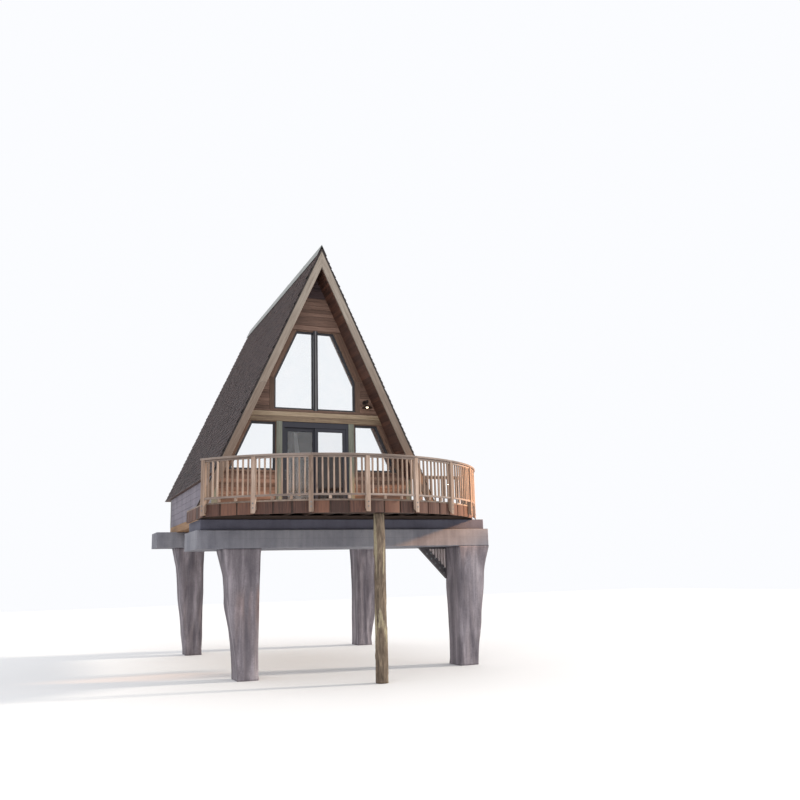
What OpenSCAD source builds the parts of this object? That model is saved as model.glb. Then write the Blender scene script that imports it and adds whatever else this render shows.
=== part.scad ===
// Raised A-frame cabin with a curved timber deck on concrete piers. Millimetres, +Z up.
// The cabin's front faces -Y. Heights below are measured from the deck floor unless said.

/* [Cabin] */
// Deck floor to the roof's outer ridge line
apex_h = 7750; // [5000:50:11000]
// Half width of the front frame at the deck floor
half_w = 3550; // [2400:50:5000]
// Front barge face to rear barge face
roof_len = 9600; // [6000:50:14000]
// Roof slab and barge board thickness, square to the slope
roof_t = 245; // [150:5:400]
// Shingle layer thickness, square to the slope
cover_t = 40; // [20:2:80]
// Height of the eave over the floor
eave_h = 1000; // [600:10:1600]
// Barge board thickness
barge_t = 60; // [30:2:100]
// Front overhang: barge face to gable wall face, the same at the rear
recess = 730; // [300:10:1400]
// Gable and side wall thickness
wall_t = 160; // [100:5:260]
// Side wall thickness under the eave
side_t = 175; // [100:5:240]

/* [Floors] */
// Deck floor height over the ground
floor_h = 4350; // [2800:50:7000]
// Cabin floor build-up
cabin_floor_t = 228; // [150:2:400]
// Deck board thickness
board_t = 38; // [20:1:60]
// Underside of the loft beam
loft_z = 2600; // [2200:10:3200]
// Depth of the loft beam
beam_h = 340; // [200:10:500]
// How far beams and posts stand proud of the gable wall
proud = 30; // [10:2:60]

/* [Front windows] */
// Top of the upper window opening
head_z = 5380; // [4300:10:6400]
// Depth of the head boards over it
head_h = 340; // [150:10:500]
// Half width of the upper window opening
upper_half = 1270; // [900:10:1700]
// Slope clearance: roof slab's inner side to the upper opening, along X
raker_upper = 225; // [120:5:400]
// The same for the lower side windows
raker_lower = 165; // [100:5:400]
// Centre of the lower posts from the axis
post_x = 1095; // [850:5:1500]
// Width of the lower posts
post_w = 170; // [100:5:240]
// Sill height of the lower side windows
sill_z = 1150; // [700:10:1600]
// Window frame face width
win_face = 65; // [40:5:100]
// Width of the centre mullion
mullion_w = 130; // [80:5:200]
// Glass thickness
glass_t = 24; // [12:1:40]
// Glass setback from the wall face
glass_back = 100; // [40:5:120]

/* [Sliding door] */
// Jamb width
jamb_w = 75; // [50:5:120]
// Head depth over the leaves
door_head = 165; // [80:5:260]
// Stile and rail width of a leaf
stile_w = 85; // [60:5:120]
// Leaf thickness
leaf_t = 45; // [30:1:60]
// Overlap of the two leaves at the middle
leaf_overlap = 50; // [20:5:100]
// Running clearance round each leaf
run_gap = 6; // [5:1:12]
// Sill plate thickness
door_sill_t = 20; // [10:1:40]

/* [Deck] */
// Radius of the rail line
rail_r = 4740; // [3600:20:6500]
// Circle centre behind the front barge face
deck_back = 1200; // [600:20:2400]
// Angle of one rail bay
bay_deg = 16.8; // [12:0.2:20]
// Depth of the deck edge boards
fascia_h = 330; // [200:5:450]
// Thickness of the deck edge boards
fascia_t = 38; // [20:1:60]
// Deck joist depth
joist_h = 190; // [120:5:280]
// Deck joist width
joist_w = 60; // [40:2:90]
// Spacing of the deck joists
joist_step = 550; // [350:10:800]

/* [Railing] */
// Deck floor to the top of the handrail
rail_h = 1100; // [900:10:1300]
// Handrail width
cap_w = 140; // [90:5:200]
// Handrail thickness
cap_t = 50; // [30:2:80]
// Rail post side
rpost = 110; // [80:5:150]
// Baluster side
bal = 40; // [25:1:60]
// Balusters in a bay
bal_n = 9; // [6:1:12]
// Bottom rail's top over the floor
low_z = 130; // [90:5:200]
// Bottom and upper rail depth
rail_d = 48; // [30:2:80]

/* [Base] */
// Slab edge thickness
slab_t = 480; // [300:10:700]
// Top of the slab below the deck floor
slab_drop = 600; // [480:10:900]
// Slab length along Y
slab_y = 2000; // [1400:20:3000]
// Slab front face in front of the barge plane
slab_front = 1000; // [400:20:1600]
// How far the plinth stands back from the slab edge
plinth_in = 100; // [40:10:250]
// Width of a pier at its top
pier_w = 980; // [800:20:1600]
// Taper of a pier's outer side from top to foot
pier_taper = 420; // [100:20:600]
// Depth of a pier along Y
pier_d = 1000; // [800:20:1600]
// How far the left piers stand in from the slab's end
pier_in = 680; // [0:20:1000]
// Log post diameter
log_d = 330; // [250:5:560]
// Log post to the right of the axis
log_x = 430; // [0:10:900]
// Depth of the timber bearer on the log
bearer_h = 100; // [80:5:200]

/* [Hidden] */
$fn = 96;
e = 0.01;
slope = atan(apex_h / half_w);
tx = roof_t / sin(slope);               // slab thickness along X
cx = cover_t / sin(slope);              // shingle thickness along X
in_apex = apex_h - roof_t / cos(slope); // underside of the ridge
top_apex = apex_h + cover_t / cos(slope);
function xo(z) = half_w * (1 - z / apex_h);  // roof slab's outer side
function xi(z) = xo(z) - tx;                 // roof slab's inner side
wall_y0 = recess;
wall_y1 = recess + wall_t;
rear_y1 = roof_len - recess;
rear_y0 = rear_y1 - wall_t;
beam_z = loft_z + beam_h;
head_top = head_z + head_h;
side_x0 = xi(eave_h);
side_x1 = side_x0 + side_t;
left_bays = 3;
right_bays = 5;
left_deg = left_bays * bay_deg;
right_deg = right_bays * bay_deg;
edge_r = rail_r - rpost / 2;            // deck edge, under the posts' inner faces
deck_left = -rail_r * sin(left_deg) - 10;
deck_cut = recess;
gap_deg = 0.05;
ridge_gap = 0.3;                        // keeps the two halves apart at the ridge
seat_gap = 0.3;                         // between faces that rest on each other at a slope
cap_deg = atan((rpost / 2 + 15) / rail_r);
under_z = -board_t - joist_h;           // underside of the joists
plinth_top = -fascia_h;
bearer_top = under_z;
log_top = bearer_top - bearer_h;
slab_top = -slab_drop;
slab_bot = slab_top - slab_t;
slab_x0 = deck_left;
slab_x1 = edge_r - 55;
rear_slab_y1 = rear_y1 - 270;
rear_slab_y0 = rear_slab_y1 - 1400;
rear_slab_top = -cabin_floor_t;
rear_slab_bot = rear_slab_top - 520;
// The whole is centred on its own footprint
x_min = -(rail_r + cap_w / 2) * sin(left_deg + cap_deg);
x_max = (rail_r + cap_w / 2) * sin(min(90, right_deg + cap_deg));
y_min = deck_back - rail_r - cap_w / 2;
y_max = roof_len;
mid_x = (x_min + x_max) / 2;
mid_y = (y_min + y_max) / 2;

// Colours
timber_pale = [0.72, 0.62, 0.55];
timber_grey = [0.62, 0.56, 0.50];
timber_brown = [0.42, 0.31, 0.24];
timber_dark = [0.30, 0.20, 0.16];
shingle_col = [0.24, 0.19, 0.20];
metal_dark = [0.20, 0.21, 0.24];
metal_grey = [0.55, 0.56, 0.56];
glass_col = [0.75, 0.82, 0.86, 0.35];
concrete = [0.42, 0.42, 0.46];
bark = [0.45, 0.39, 0.32];

module place() { translate([-mid_x, -mid_y, floor_h]) children(); }
// A profile in X and Z, extruded along Y from y0 to y1
module slab_xz(y0, y1) { translate([0, y1, 0]) rotate([90, 0, 0]) linear_extrude(y1 - y0) children(); }
module box(a, b) { translate(a) cube([b[0] - a[0], b[1] - a[1], b[2] - a[2]]); }
module both() { children(); mirror([1, 0, 0]) children(); }
// Places a child at an angle round the deck circle; its +X points outwards
module around(a) { translate([0, deck_back, 0]) rotate([0, 0, a - 90]) children(); }
// A ring segment about the deck circle from angle a0 to a1
module arc(r0, r1, z0, z1, a0, a1) {
    translate([0, deck_back, 0]) rotate([0, 0, a0 - 90])
        rotate_extrude(angle = a1 - a0, $fn = 180) translate([r0, z0]) square([r1 - r0, z1 - z0]);
}

// ---- Base ----
module log_post() color(bark) place()
    translate([log_x, bearer_y(), -floor_h])
        cylinder(h = floor_h + log_top, r1 = log_d / 2, r2 = log_d / 2 * 0.88);
function bearer_y() = deck_back - edge_r + 340;
function bearer_half() = sqrt(pow(edge_r - fascia_t - 25, 2) - pow(deck_back - bearer_y() + 70, 2));
module log_bearer() color(timber_dark) place()
    box([-bearer_half(), bearer_y() - 70, log_top], [bearer_half(), bearer_y() + 70, bearer_top]);
// Outer side leans in towards the foot; x0 is the inner side, s the outward direction
module pier(x0, s, yc, top) {
    h = floor_h + top;
    intersection() {
        slab_xz(yc - pier_d / 2, yc + pier_d / 2)
            polygon([[x0, top], [x0 + s * pier_w, top], [x0 + s * (pier_w - pier_taper), top - h],
                [x0, top - h]]);
        translate([0, yc, 0]) rotate([90, 0, 90]) translate([0, 0, -2 * rail_r])
            linear_extrude(4 * rail_r)
                polygon([[-pier_d / 2, top], [pier_d / 2, top], [pier_d / 2 - 120, top - h],
                    [-pier_d / 2 + 120, top - h]]);
    }
}
pier_yc = -slab_front + pier_d / 2;
rear_yc = (rear_slab_y0 + rear_slab_y1) / 2;
pier_r = slab_x1 - pier_w;
pier_l = slab_x0 + pier_in + pier_w;
module piers() color(concrete) place() {
    pier(pier_r, 1, pier_yc, slab_bot);
    pier(pier_l, -1, pier_yc, slab_bot);
    pier(pier_r, 1, rear_yc, rear_slab_bot);
    pier(pier_l, -1, rear_yc, rear_slab_bot);
}
plate_w = 140;
brace_run = 860;
brace_rise = 900;
brace_t = 120;
strut_t = 290;
brace_y = pier_yc + pier_d / 2 - 180;
function strut_z(x) = slab_bot - brace_rise * (1 - x / brace_run) + strut_t;
// The slots stop where the raking strut's upper edge nears the top plate
module knee_brace() color(timber_dark) place() slab_xz(brace_y, brace_y + brace_t)
    difference() {
        polygon([[pier_r, slab_bot], [pier_r - brace_run, slab_bot], [pier_r, slab_bot - brace_rise]]);
        for (i = [0:4]) let (x = 60 + i * 90, t = 55, z = slab_bot - 60)
            polygon([[pier_r - x - t, z], [pier_r - x, z], [pier_r - x, strut_z(x)],
                [pier_r - x - t, strut_z(x + t)]]);
    }
module front_slab() color(concrete) place()
    box([slab_x0, -slab_front, slab_bot], [slab_x1, slab_y - slab_front, slab_top]);
module front_plinth() color(concrete * 0.8) place()
    box([slab_x0 + plinth_in, plinth_in - slab_front, slab_top],
        [slab_x1 - plinth_in, slab_y - slab_front - plinth_in, plinth_top]);
module rear_slab() color(concrete) place()
    box([slab_x0, rear_slab_y0, rear_slab_bot], [slab_x1, rear_slab_y1, rear_slab_top]);
module floor_beams() color(timber_dark) place()
    for (x = [-2500, 0, 2500] * half_w / 3550)
        box([x - 90, slab_y - slab_front - plinth_in, -cabin_floor_t - 300],
            [x + 90, rear_slab_y0, -cabin_floor_t]);
// Timber plates that carry the joists and the cabin floor on the plinth
module sole_plates() color(timber_dark) place() {
    y0 = plinth_in - slab_front + 50;
    xr = sqrt(pow(edge_r - fascia_t - 25, 2) - pow(deck_back - y0, 2));
    box([deck_left + fascia_t + 20, y0, plinth_top], [xr, y0 + plate_w, under_z]);
    box([-side_x1, deck_cut + 15, plinth_top], [side_x1, deck_cut + 15 + plate_w, -cabin_floor_t]);
}

// ---- Deck ----
function circ_y(x, r) = deck_back - sqrt(r * r - x * x);
module deck_joists() color(timber_dark) place()
    for (x = [deck_left + 80 : joist_step : edge_r - 500])
        box([x, circ_y(max(abs(x), abs(x + joist_w)), edge_r - fascia_t - 20), under_z],
            [x + joist_w, deck_cut - fascia_t - seat_gap, -board_t]);
module deck_fascia() color(timber_dark) place() {
    for (k = [-left_bays : right_bays - 1])
        arc(edge_r - fascia_t, edge_r, -fascia_h, -board_t, k * bay_deg + gap_deg,
            (k + 1) * bay_deg - gap_deg);
    box([deck_left, circ_y(-deck_left, edge_r) + 60, -fascia_h], [deck_left + fascia_t, deck_cut, -board_t]);
    box([side_x1 + 120, deck_cut - fascia_t, -fascia_h],
        [sqrt(pow(edge_r - fascia_t, 2) - pow(deck_back - deck_cut + fascia_t, 2)) - 3, deck_cut, -board_t]);
}
module deck_floor() color(timber_grey) place() intersection() {
    translate([0, deck_back, -board_t]) cylinder(h = board_t, r = edge_r, $fn = 180);
    box([deck_left, -rail_r, -board_t - 1], [rail_r, deck_cut, 1]);
}
cap_under = rail_h - cap_t - seat_gap;
module rail_post() rotate([90, 0, 0]) translate([0, 0, -rpost / 2]) linear_extrude(rpost)
    polygon([[edge_r, -fascia_h + 110], [edge_r + rpost, -fascia_h + 15], [edge_r + rpost, cap_under],
        [edge_r, cap_under]]);
return_x = side_x1 + cx + 240;
return_y = deck_back - rail_r * cos(right_deg);
module rail_posts() color(timber_pale) place() {
    for (k = [-left_bays : right_bays]) around(k * bay_deg) rail_post();
    box([return_x - rpost / 2, return_y - rpost / 2, 0],
        [return_x + rpost / 2, return_y + rpost / 2, cap_under]);
}
post_deg = asin(rpost / 2 / rail_r) + gap_deg;
module rail_panels() color(timber_pale) place() {
    for (k = [-left_bays : right_bays - 1]) {
        a0 = k * bay_deg + post_deg;
        a1 = (k + 1) * bay_deg - post_deg;
        arc(rail_r - 30, rail_r + 30, low_z - rail_d, low_z, a0, a1);
        arc(rail_r - 30, rail_r + 30, cap_under - rail_d, cap_under, a0, a1);
        for (i = [1 : bal_n]) around(k * bay_deg + i * bay_deg / (bal_n + 1))
            box([rail_r - bal / 2, -bal / 2, low_z - e], [rail_r + bal / 2, bal / 2, cap_under - rail_d + e]);
    }
    r0 = return_x + rpost / 2;
    r1 = rail_r * sin(right_deg) - rpost / 2 - 12;
    for (z = [low_z, cap_under]) box([r0, return_y - 30, z - rail_d], [r1, return_y + 30, z]);
    n = floor((r1 - r0) / 150);
    for (i = [1 : n]) let (x = r0 + (r1 - r0) * i / (n + 1))
        box([x - bal / 2, return_y - bal / 2, low_z - e],
            [x + bal / 2, return_y + bal / 2, cap_under - rail_d + e]);
}
module rail_cap() color(timber_pale) place() {
    for (k = [-left_bays : right_bays - 1])
        arc(rail_r - cap_w / 2, rail_r + cap_w / 2, rail_h - cap_t, rail_h,
            k == -left_bays ? -left_deg - cap_deg : k * bay_deg + gap_deg,
            k == right_bays - 1 ? right_deg + cap_deg : (k + 1) * bay_deg - gap_deg);
    box([return_x - cap_w / 2, return_y - cap_w / 2, rail_h - cap_t],
        [rail_r * sin(right_deg) - cap_w / 2 - 14, return_y + cap_w / 2, rail_h]);
}

// ---- Cabin shell ----
module cabin_floor() color(timber_brown) place()
    box([-side_x1, wall_y0, -cabin_floor_t], [side_x1, rear_y1, 0]);
module loft_floor() color(timber_brown) place() slab_xz(wall_y1, rear_y0)
    polygon([[-xi(loft_z + 60), loft_z + 60], [xi(loft_z + 60), loft_z + 60],
        [xi(beam_z - 40), beam_z - 40], [-xi(beam_z - 40), beam_z - 40]]);
module side_walls() color(timber_brown) place() both()
    box([side_x0, wall_y0, 0], [side_x1, rear_y1, eave_h]);
module half_band(top, bot, foot, x1, x0)
    polygon([[ridge_gap, top - ridge_gap * tan(slope)], [ridge_gap, bot - ridge_gap * tan(slope)],
        [x0, foot], [x1, foot]]);
module roof_slabs() color(timber_dark) place() slab_xz(barge_t, roof_len - barge_t)
    both2() half_band(apex_h, in_apex + seat_gap / cos(slope), eave_h, xo(eave_h),
        xi(eave_h) + seat_gap / sin(slope));
module roof_covers() color(shingle_col) place() slab_xz(0, roof_len)
    both2() half_band(top_apex, apex_h + seat_gap / cos(slope), eave_h, xo(eave_h) + cx,
        xo(eave_h) + seat_gap / sin(slope));
cap_leg = 150;
cap_rise = 12;
module ridge_cap() color(metal_grey) place() slab_xz(0, roof_len)
    let (under = top_apex + seat_gap / cos(slope), over = top_apex + cap_rise / cos(slope),
        drop = cap_leg * tan(slope))
        polygon([[0, under], [cap_leg, under - drop], [cap_leg, over - drop], [0, over],
            [-cap_leg, over - drop], [-cap_leg, under - drop]]);
module barge(foot) half_band(apex_h, in_apex, foot, xo(foot), xi(foot));
module front_barges() color(timber_grey) place() slab_xz(0, barge_t) both2() barge(0);
module rear_barges() color(timber_grey) place() slab_xz(roof_len - barge_t, roof_len) both2() barge(eave_h);

// ---- Gable, shared by both ends ----
module trap(z0, z1) polygon([[-xi(z0), z0], [xi(z0), z0], [xi(z1), z1], [-xi(z1), z1]]);
module front_apex() color(timber_brown) place() slab_xz(wall_y0, wall_y1)
    polygon([[-xi(head_top), head_top], [xi(head_top), head_top], [0, in_apex]]);
module front_head() color(timber_brown) place() slab_xz(wall_y0 - proud, wall_y1) trap(head_z, head_top);
module front_mid_beam() color(timber_brown) place() slab_xz(wall_y0 - proud, wall_y1) trap(loft_z, beam_z);
// Upper opening: straight jambs, then sides that follow the roof up to the head
function xu(z) = xi(z) - raker_upper;
upper_knee = apex_h * (1 - (upper_half + raker_upper + tx) / half_w);
module upper_wall() polygon([[xi(beam_z), beam_z], [upper_half, beam_z], [upper_half, upper_knee],
    [xu(head_z), head_z], [xi(head_z), head_z]]);
module front_upper_walls() color(timber_brown) place() slab_xz(wall_y0, wall_y1) both2() upper_wall();
module both2() { children(); mirror([1, 0]) children(); }
fx = win_face / sin(slope);
module upper_open() polygon([[-upper_half, beam_z], [upper_half, beam_z], [upper_half, upper_knee],
    [xu(head_z), head_z], [-xu(head_z), head_z], [-upper_half, upper_knee]]);
module upper_lite() polygon([[mullion_w / 2, beam_z + win_face], [upper_half - win_face, beam_z + win_face],
    [upper_half - win_face, upper_knee + (win_face - fx) * tan(slope)],
    [xu(head_z - win_face) - fx, head_z - win_face], [mullion_w / 2, head_z - win_face]]);
frame_y0 = glass_back - 40;
module upper_frame() color(metal_dark) place() {
    slab_xz(wall_y0 + frame_y0, wall_y1) difference() { upper_open(); both2() upper_lite(); }
    slab_xz(wall_y0 - proud, wall_y0 + frame_y0 + e)
        rect(mullion_w / 2, beam_z, head_z);
}

// ---- Lower front ----
post_in = post_x - post_w / 2;
post_out = post_x + post_w / 2;
function xl(z) = xi(z) - raker_lower;
module front_rakers() color(timber_brown) place() slab_xz(wall_y0, wall_y1) both2() intersection() {
    polygon([[xi(sill_z), sill_z], [xl(sill_z), sill_z], [xl(loft_z), loft_z], [xi(loft_z), loft_z]]);
    rect(side_x0, 0, loft_z);
}
module front_posts() color(timber_grey) place() both()
    box([post_in, wall_y0 - proud, 0], [post_out, wall_y1, loft_z]);
module sill_panels() color(timber_brown) place() slab_xz(wall_y0, wall_y1) both2() intersection() {
    polygon([[post_out, 0], [side_x0, 0], [side_x0, sill_z], [post_out, sill_z]]);
    polygon([[0, 0], [xi(0), 0], [xi(sill_z), sill_z], [0, sill_z]]);
}
module side_open() polygon([[post_out, sill_z], [xl(sill_z), sill_z], [xl(loft_z), loft_z],
    [post_out, loft_z]]);
module side_lite() polygon([[post_out + win_face, sill_z + win_face],
    [xl(sill_z + win_face) - fx, sill_z + win_face],
    [xl(loft_z - win_face) - fx, loft_z - win_face], [post_out + win_face, loft_z - win_face]]);
module side_frames() color(metal_dark) place() slab_xz(wall_y0 + frame_y0, wall_y1)
    both2() difference() { side_open(); side_lite(); }

// ---- Sliding door: two leaves on two tracks ----
door_half = post_in - jamb_w;
door_top = loft_z - door_head;
leaf_w = door_half - run_gap + leaf_overlap / 2;
leaf_z0 = door_sill_t + run_gap;
leaf_z1 = door_top - run_gap;
track_out = wall_y0 + wall_t / 2 - 8 - leaf_t;
track_in = wall_y0 + wall_t / 2 + 8;
door_travel = leaf_w - leaf_overlap;
module door_jambs() color(metal_dark) place() both()
    box([door_half, wall_y0 + 10, 0], [post_in, wall_y1, loft_z]);
module door_head_frame() color(metal_dark) place()
    box([-door_half, wall_y0 + 10, door_top], [door_half, wall_y1, loft_z]);
module door_sill() color(metal_grey) place()
    box([-door_half, wall_y0, 0], [door_half, wall_y1, door_sill_t]);
module leaf(x0, y0) difference() {
    box([x0, y0, leaf_z0], [x0 + leaf_w, y0 + leaf_t, leaf_z1]);
    box([x0 + stile_w, y0 - 1, leaf_z0 + stile_w * 1.4],
        [x0 + leaf_w - stile_w, y0 + leaf_t + 1, leaf_z1 - stile_w]);
}
module pane(x0, y0) box([x0 + stile_w, y0 + leaf_t / 2 - glass_t / 2, leaf_z0 + stile_w * 1.4],
    [x0 + leaf_w - stile_w, y0 + leaf_t / 2 + glass_t / 2, leaf_z1 - stile_w]);
left_x0 = -door_half + run_gap;
right_x0 = door_half - run_gap - leaf_w;
module door_leaf_left() color(metal_dark) place() leaf(left_x0, track_in);
module door_glass_left() color(glass_col) place() pane(left_x0, track_in);
module door_leaf_right() color(metal_dark) place() leaf(right_x0, track_out);
module door_glass_right() color(glass_col) place() pane(right_x0, track_out);

// ---- Rear gable: a clad wall with one window a storey ----
rw = 800;
rw_z0 = 1000;
rw_z1 = 2200;
ru_half = 620;
ru_z0 = beam_z + 450;
ru_z1 = ru_z0 + 1100;
module rect(h, z0, z1) polygon([[-h, z0], [h, z0], [h, z1], [-h, z1]]);
module rear_wall() color(timber_brown) place() slab_xz(rear_y0, rear_y1) difference() {
    polygon([[-side_x0, 0], [side_x0, 0], [side_x0, eave_h], [xi(loft_z), loft_z], [-xi(loft_z), loft_z],
        [-side_x0, eave_h]]);
    rect(rw, rw_z0, rw_z1);
}
module rear_mid_beam() color(timber_brown) place() slab_xz(rear_y0, rear_y1 + proud) trap(loft_z, beam_z);
module rear_gable() color(timber_brown) place() slab_xz(rear_y0, rear_y1) difference() {
    polygon([[-xi(beam_z), beam_z], [xi(beam_z), beam_z], [0, in_apex]]);
    rect(ru_half, ru_z0, ru_z1);
}
module rear_lites(m) {
    both2() polygon([[m, rw_z0 + win_face], [rw - win_face, rw_z0 + win_face],
        [rw - win_face, rw_z1 - win_face],
        [m, rw_z1 - win_face]]);
    both2() polygon([[m, ru_z0 + win_face], [ru_half - win_face, ru_z0 + win_face],
        [ru_half - win_face, ru_z1 - win_face], [m, ru_z1 - win_face]]);
}
module rear_frames() color(metal_dark) place() slab_xz(rear_y0 + 30, rear_y1 - 50) difference() {
    union() { rect(rw, rw_z0, rw_z1); rect(ru_half, ru_z0, ru_z1); }
    rear_lites(35);
}
module window_glass() color(glass_col) place() {
    slab_xz(wall_y0 + glass_back, wall_y0 + glass_back + glass_t) both2() {
        upper_lite();
        side_lite();
    }
    slab_xz(rear_y1 - 100, rear_y1 - 100 + glass_t) rear_lites(35);
}

// ---- Wall lamp on the right upper wall ----
lamp_x = upper_half + 260;
lamp_z = beam_z + 330;
lamp_out = 240;
module wall_lamp() color(metal_dark) place() {
    translate([lamp_x, wall_y0, lamp_z]) rotate([90, 0, 0]) cylinder(h = 25, r = 65);
    translate([lamp_x, wall_y0 - 20, lamp_z]) rotate([90, 0, 0]) cylinder(h = lamp_out - 20, r = 14);
    translate([lamp_x, wall_y0 - lamp_out, lamp_z]) sphere(r = 42);
    translate([lamp_x, wall_y0 - lamp_out, lamp_z - 130]) cylinder(h = 120, r = 14);
    translate([lamp_x, wall_y0 - lamp_out, lamp_z - 200]) difference() {
        cylinder(h = 75, r1 = 170, r2 = 45);
        translate([0, 0, -e]) cylinder(h = 67, r1 = 164, r2 = 39);
    }
}
module lamp_bulb() color([1, 0.9, 0.7]) place()
    translate([lamp_x, wall_y0 - lamp_out, lamp_z - 175]) {
        sphere(r = 36);
        cylinder(h = 42 - seat_gap, r = 16);
    }

log_post();
log_bearer();
piers();
knee_brace();
front_slab();
front_plinth();
rear_slab();
sole_plates();
floor_beams();
deck_joists();
deck_fascia();
deck_floor();
rail_posts();
rail_panels();
rail_cap();
cabin_floor();
loft_floor();
side_walls();
roof_slabs();
roof_covers();
ridge_cap();
front_barges();
rear_barges();
front_apex();
front_head();
front_upper_walls();
front_mid_beam();
front_rakers();
front_posts();
sill_panels();
upper_frame();
side_frames();
window_glass();
door_jambs();
door_head_frame();
door_sill();
door_leaf_left();
door_glass_left();
door_leaf_right();
door_glass_right();
rear_wall();
rear_mid_beam();
rear_gable();
rear_frames();
wall_lamp();
lamp_bulb();
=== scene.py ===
import math
import random
from functools import partial
import bmesh
import bpy
from mathutils import Matrix, Vector, noise


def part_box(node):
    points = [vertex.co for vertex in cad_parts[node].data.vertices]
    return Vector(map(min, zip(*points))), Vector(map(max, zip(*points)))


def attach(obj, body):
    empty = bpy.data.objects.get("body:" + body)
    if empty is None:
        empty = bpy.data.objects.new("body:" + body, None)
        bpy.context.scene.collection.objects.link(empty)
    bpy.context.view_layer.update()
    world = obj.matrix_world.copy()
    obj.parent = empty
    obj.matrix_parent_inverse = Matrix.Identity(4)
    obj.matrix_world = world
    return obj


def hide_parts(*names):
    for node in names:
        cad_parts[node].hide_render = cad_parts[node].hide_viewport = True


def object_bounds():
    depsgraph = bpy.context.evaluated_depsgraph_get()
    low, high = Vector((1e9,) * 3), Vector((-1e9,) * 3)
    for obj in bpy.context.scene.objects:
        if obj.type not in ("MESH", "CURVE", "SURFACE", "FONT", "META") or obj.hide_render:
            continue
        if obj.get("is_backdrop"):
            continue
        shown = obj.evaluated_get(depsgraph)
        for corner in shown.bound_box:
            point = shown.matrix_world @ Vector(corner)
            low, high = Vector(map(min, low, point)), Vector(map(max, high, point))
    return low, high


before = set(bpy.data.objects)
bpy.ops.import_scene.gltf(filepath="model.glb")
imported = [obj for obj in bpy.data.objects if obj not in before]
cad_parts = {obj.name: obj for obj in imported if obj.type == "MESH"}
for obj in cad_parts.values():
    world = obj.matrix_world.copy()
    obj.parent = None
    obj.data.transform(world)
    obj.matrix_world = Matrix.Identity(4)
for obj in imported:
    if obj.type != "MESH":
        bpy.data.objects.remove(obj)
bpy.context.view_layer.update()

# ---- Where the cabin stands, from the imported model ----
scene = bpy.context.scene
post_box, barge_box, deck_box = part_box("front_posts"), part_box("front_barges"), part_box("deck_floor")
AXIS = (post_box[0].x + post_box[1].x) / 2      # the gable's centre line
FACE = barge_box[0].y                           # front face of the barge boards
FLOOR = deck_box[1].z                           # top of the deck


def at(x, y, z):
    """A point from the gable's centre line, the barge face and the deck floor, in metres."""
    return Vector((AXIS + x, FACE + y, FLOOR + z))


# ---- Sizes in metres ----
APEX, HALF, ROOF_T, COVER_T, ROOF_LEN = 7.75, 3.55, 0.245, 0.040, 9.6
EAVE, BARGE_T, RECESS, WALL_T, PROUD = 1.0, 0.060, 0.73, 0.16, 0.030
REAR, INSIDE = ROOF_LEN - RECESS, RECESS + WALL_T     # face of the rear wall, and back of the front wall
LOFT, BEAM, HEAD, HEAD_TOP = 2.60, 2.94, 5.38, 5.72
RAIL_R, DECK_BACK, BAY = 4.74, 1.20, math.radians(16.8)
EDGE_R = RAIL_R - 0.055
LEFT_BAYS, RIGHT_BAYS = 3, 5
RAIL_H, CAP_T, CAP_W, POST = 1.10, 0.050, 0.14, 0.11
SLOPE = math.atan(APEX / HALF)
TX = ROOF_T / math.sin(SLOPE)


def xo(z):
    return HALF * (1 - z / APEX)


def xi(z):
    return xo(z) - TX


IN_APEX = APEX - ROOF_T / math.cos(SLOPE)
SIDE_X = xi(EAVE)
SIDE_OUT = SIDE_X + 0.175
DECK_LEFT = -RAIL_R * math.sin(LEFT_BAYS * BAY) - 0.010
RETURN_X = SIDE_OUT + COVER_T / math.sin(SLOPE) + 0.24
RETURN_Y = DECK_BACK - RAIL_R * math.cos(RIGHT_BAYS * BAY)


# ---- Finishes ----
def linear(code):
    """sRGB hex to a linear colour."""
    parts = [int(code[i:i + 2], 16) / 255 for i in (0, 2, 4)]
    return tuple(c / 12.92 if c <= 0.04045 else ((c + 0.055) / 1.055) ** 2.4 for c in parts) + (1.0,)


def fill_in(tree, made, inputs):
    """Sets a node's inputs, by name or in order: each is a value, a socket, or a node, for its first output in use."""
    for key, value in inputs.items() if isinstance(inputs, dict) else enumerate(inputs):
        if isinstance(value, bpy.types.Node):
            value = next(socket for socket in value.outputs if socket.enabled)
        if isinstance(value, bpy.types.NodeSocket):
            tree.links.new(value, made.inputs[key])
        else:
            made.inputs[key].default_value = value


def node(tree, kind, inputs=(), stops=(), **settings):
    """Adds one node. A bare kind is a shader node, and one in capitals is a Math node's operation."""
    if kind.isupper():
        kind, settings = "Math", {"operation": kind}
    made = tree.nodes.new(kind if "Node" in kind else "ShaderNode" + kind)
    for key, value in settings.items():
        setattr(made, key, value)
    fill_in(tree, made, inputs)
    if stops:
        ramp = made.color_ramp
        while len(ramp.elements) < len(stops):
            ramp.elements.new(0.5)
        for element, (place, code) in zip(ramp.elements, stops):
            element.position, element.color = place, linear(code)
    return made


def finish(name):
    """An empty material; gives it, what adds a node to it, and the place of a point on the object."""
    made = bpy.data.materials.new(name)
    made.use_nodes = True
    add = partial(node, made.node_tree)
    return made, add, add("TexCoord").outputs["Object"]


def shade(made, **inputs):
    """Feeds a material's shader."""
    tree = made.node_tree
    fill_in(tree, tree.nodes["Principled BSDF"], {key.replace("_", " "): value for key, value in inputs.items()})


def dress(made, colour, grain, rough, relief, bump, depth, **more):
    """Gives a material its colour, a roughness that follows its grain, and its relief."""
    add = partial(node, made.node_tree)
    shade(made, Base_Color=colour, **more,
          Roughness=add("MapRange", {"Value": grain, "To Min": rough[0], "To Max": rough[1]}),
          Normal=add("Bump", {"Height": relief, "Strength": bump, "Distance": depth}))
    return made


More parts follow.
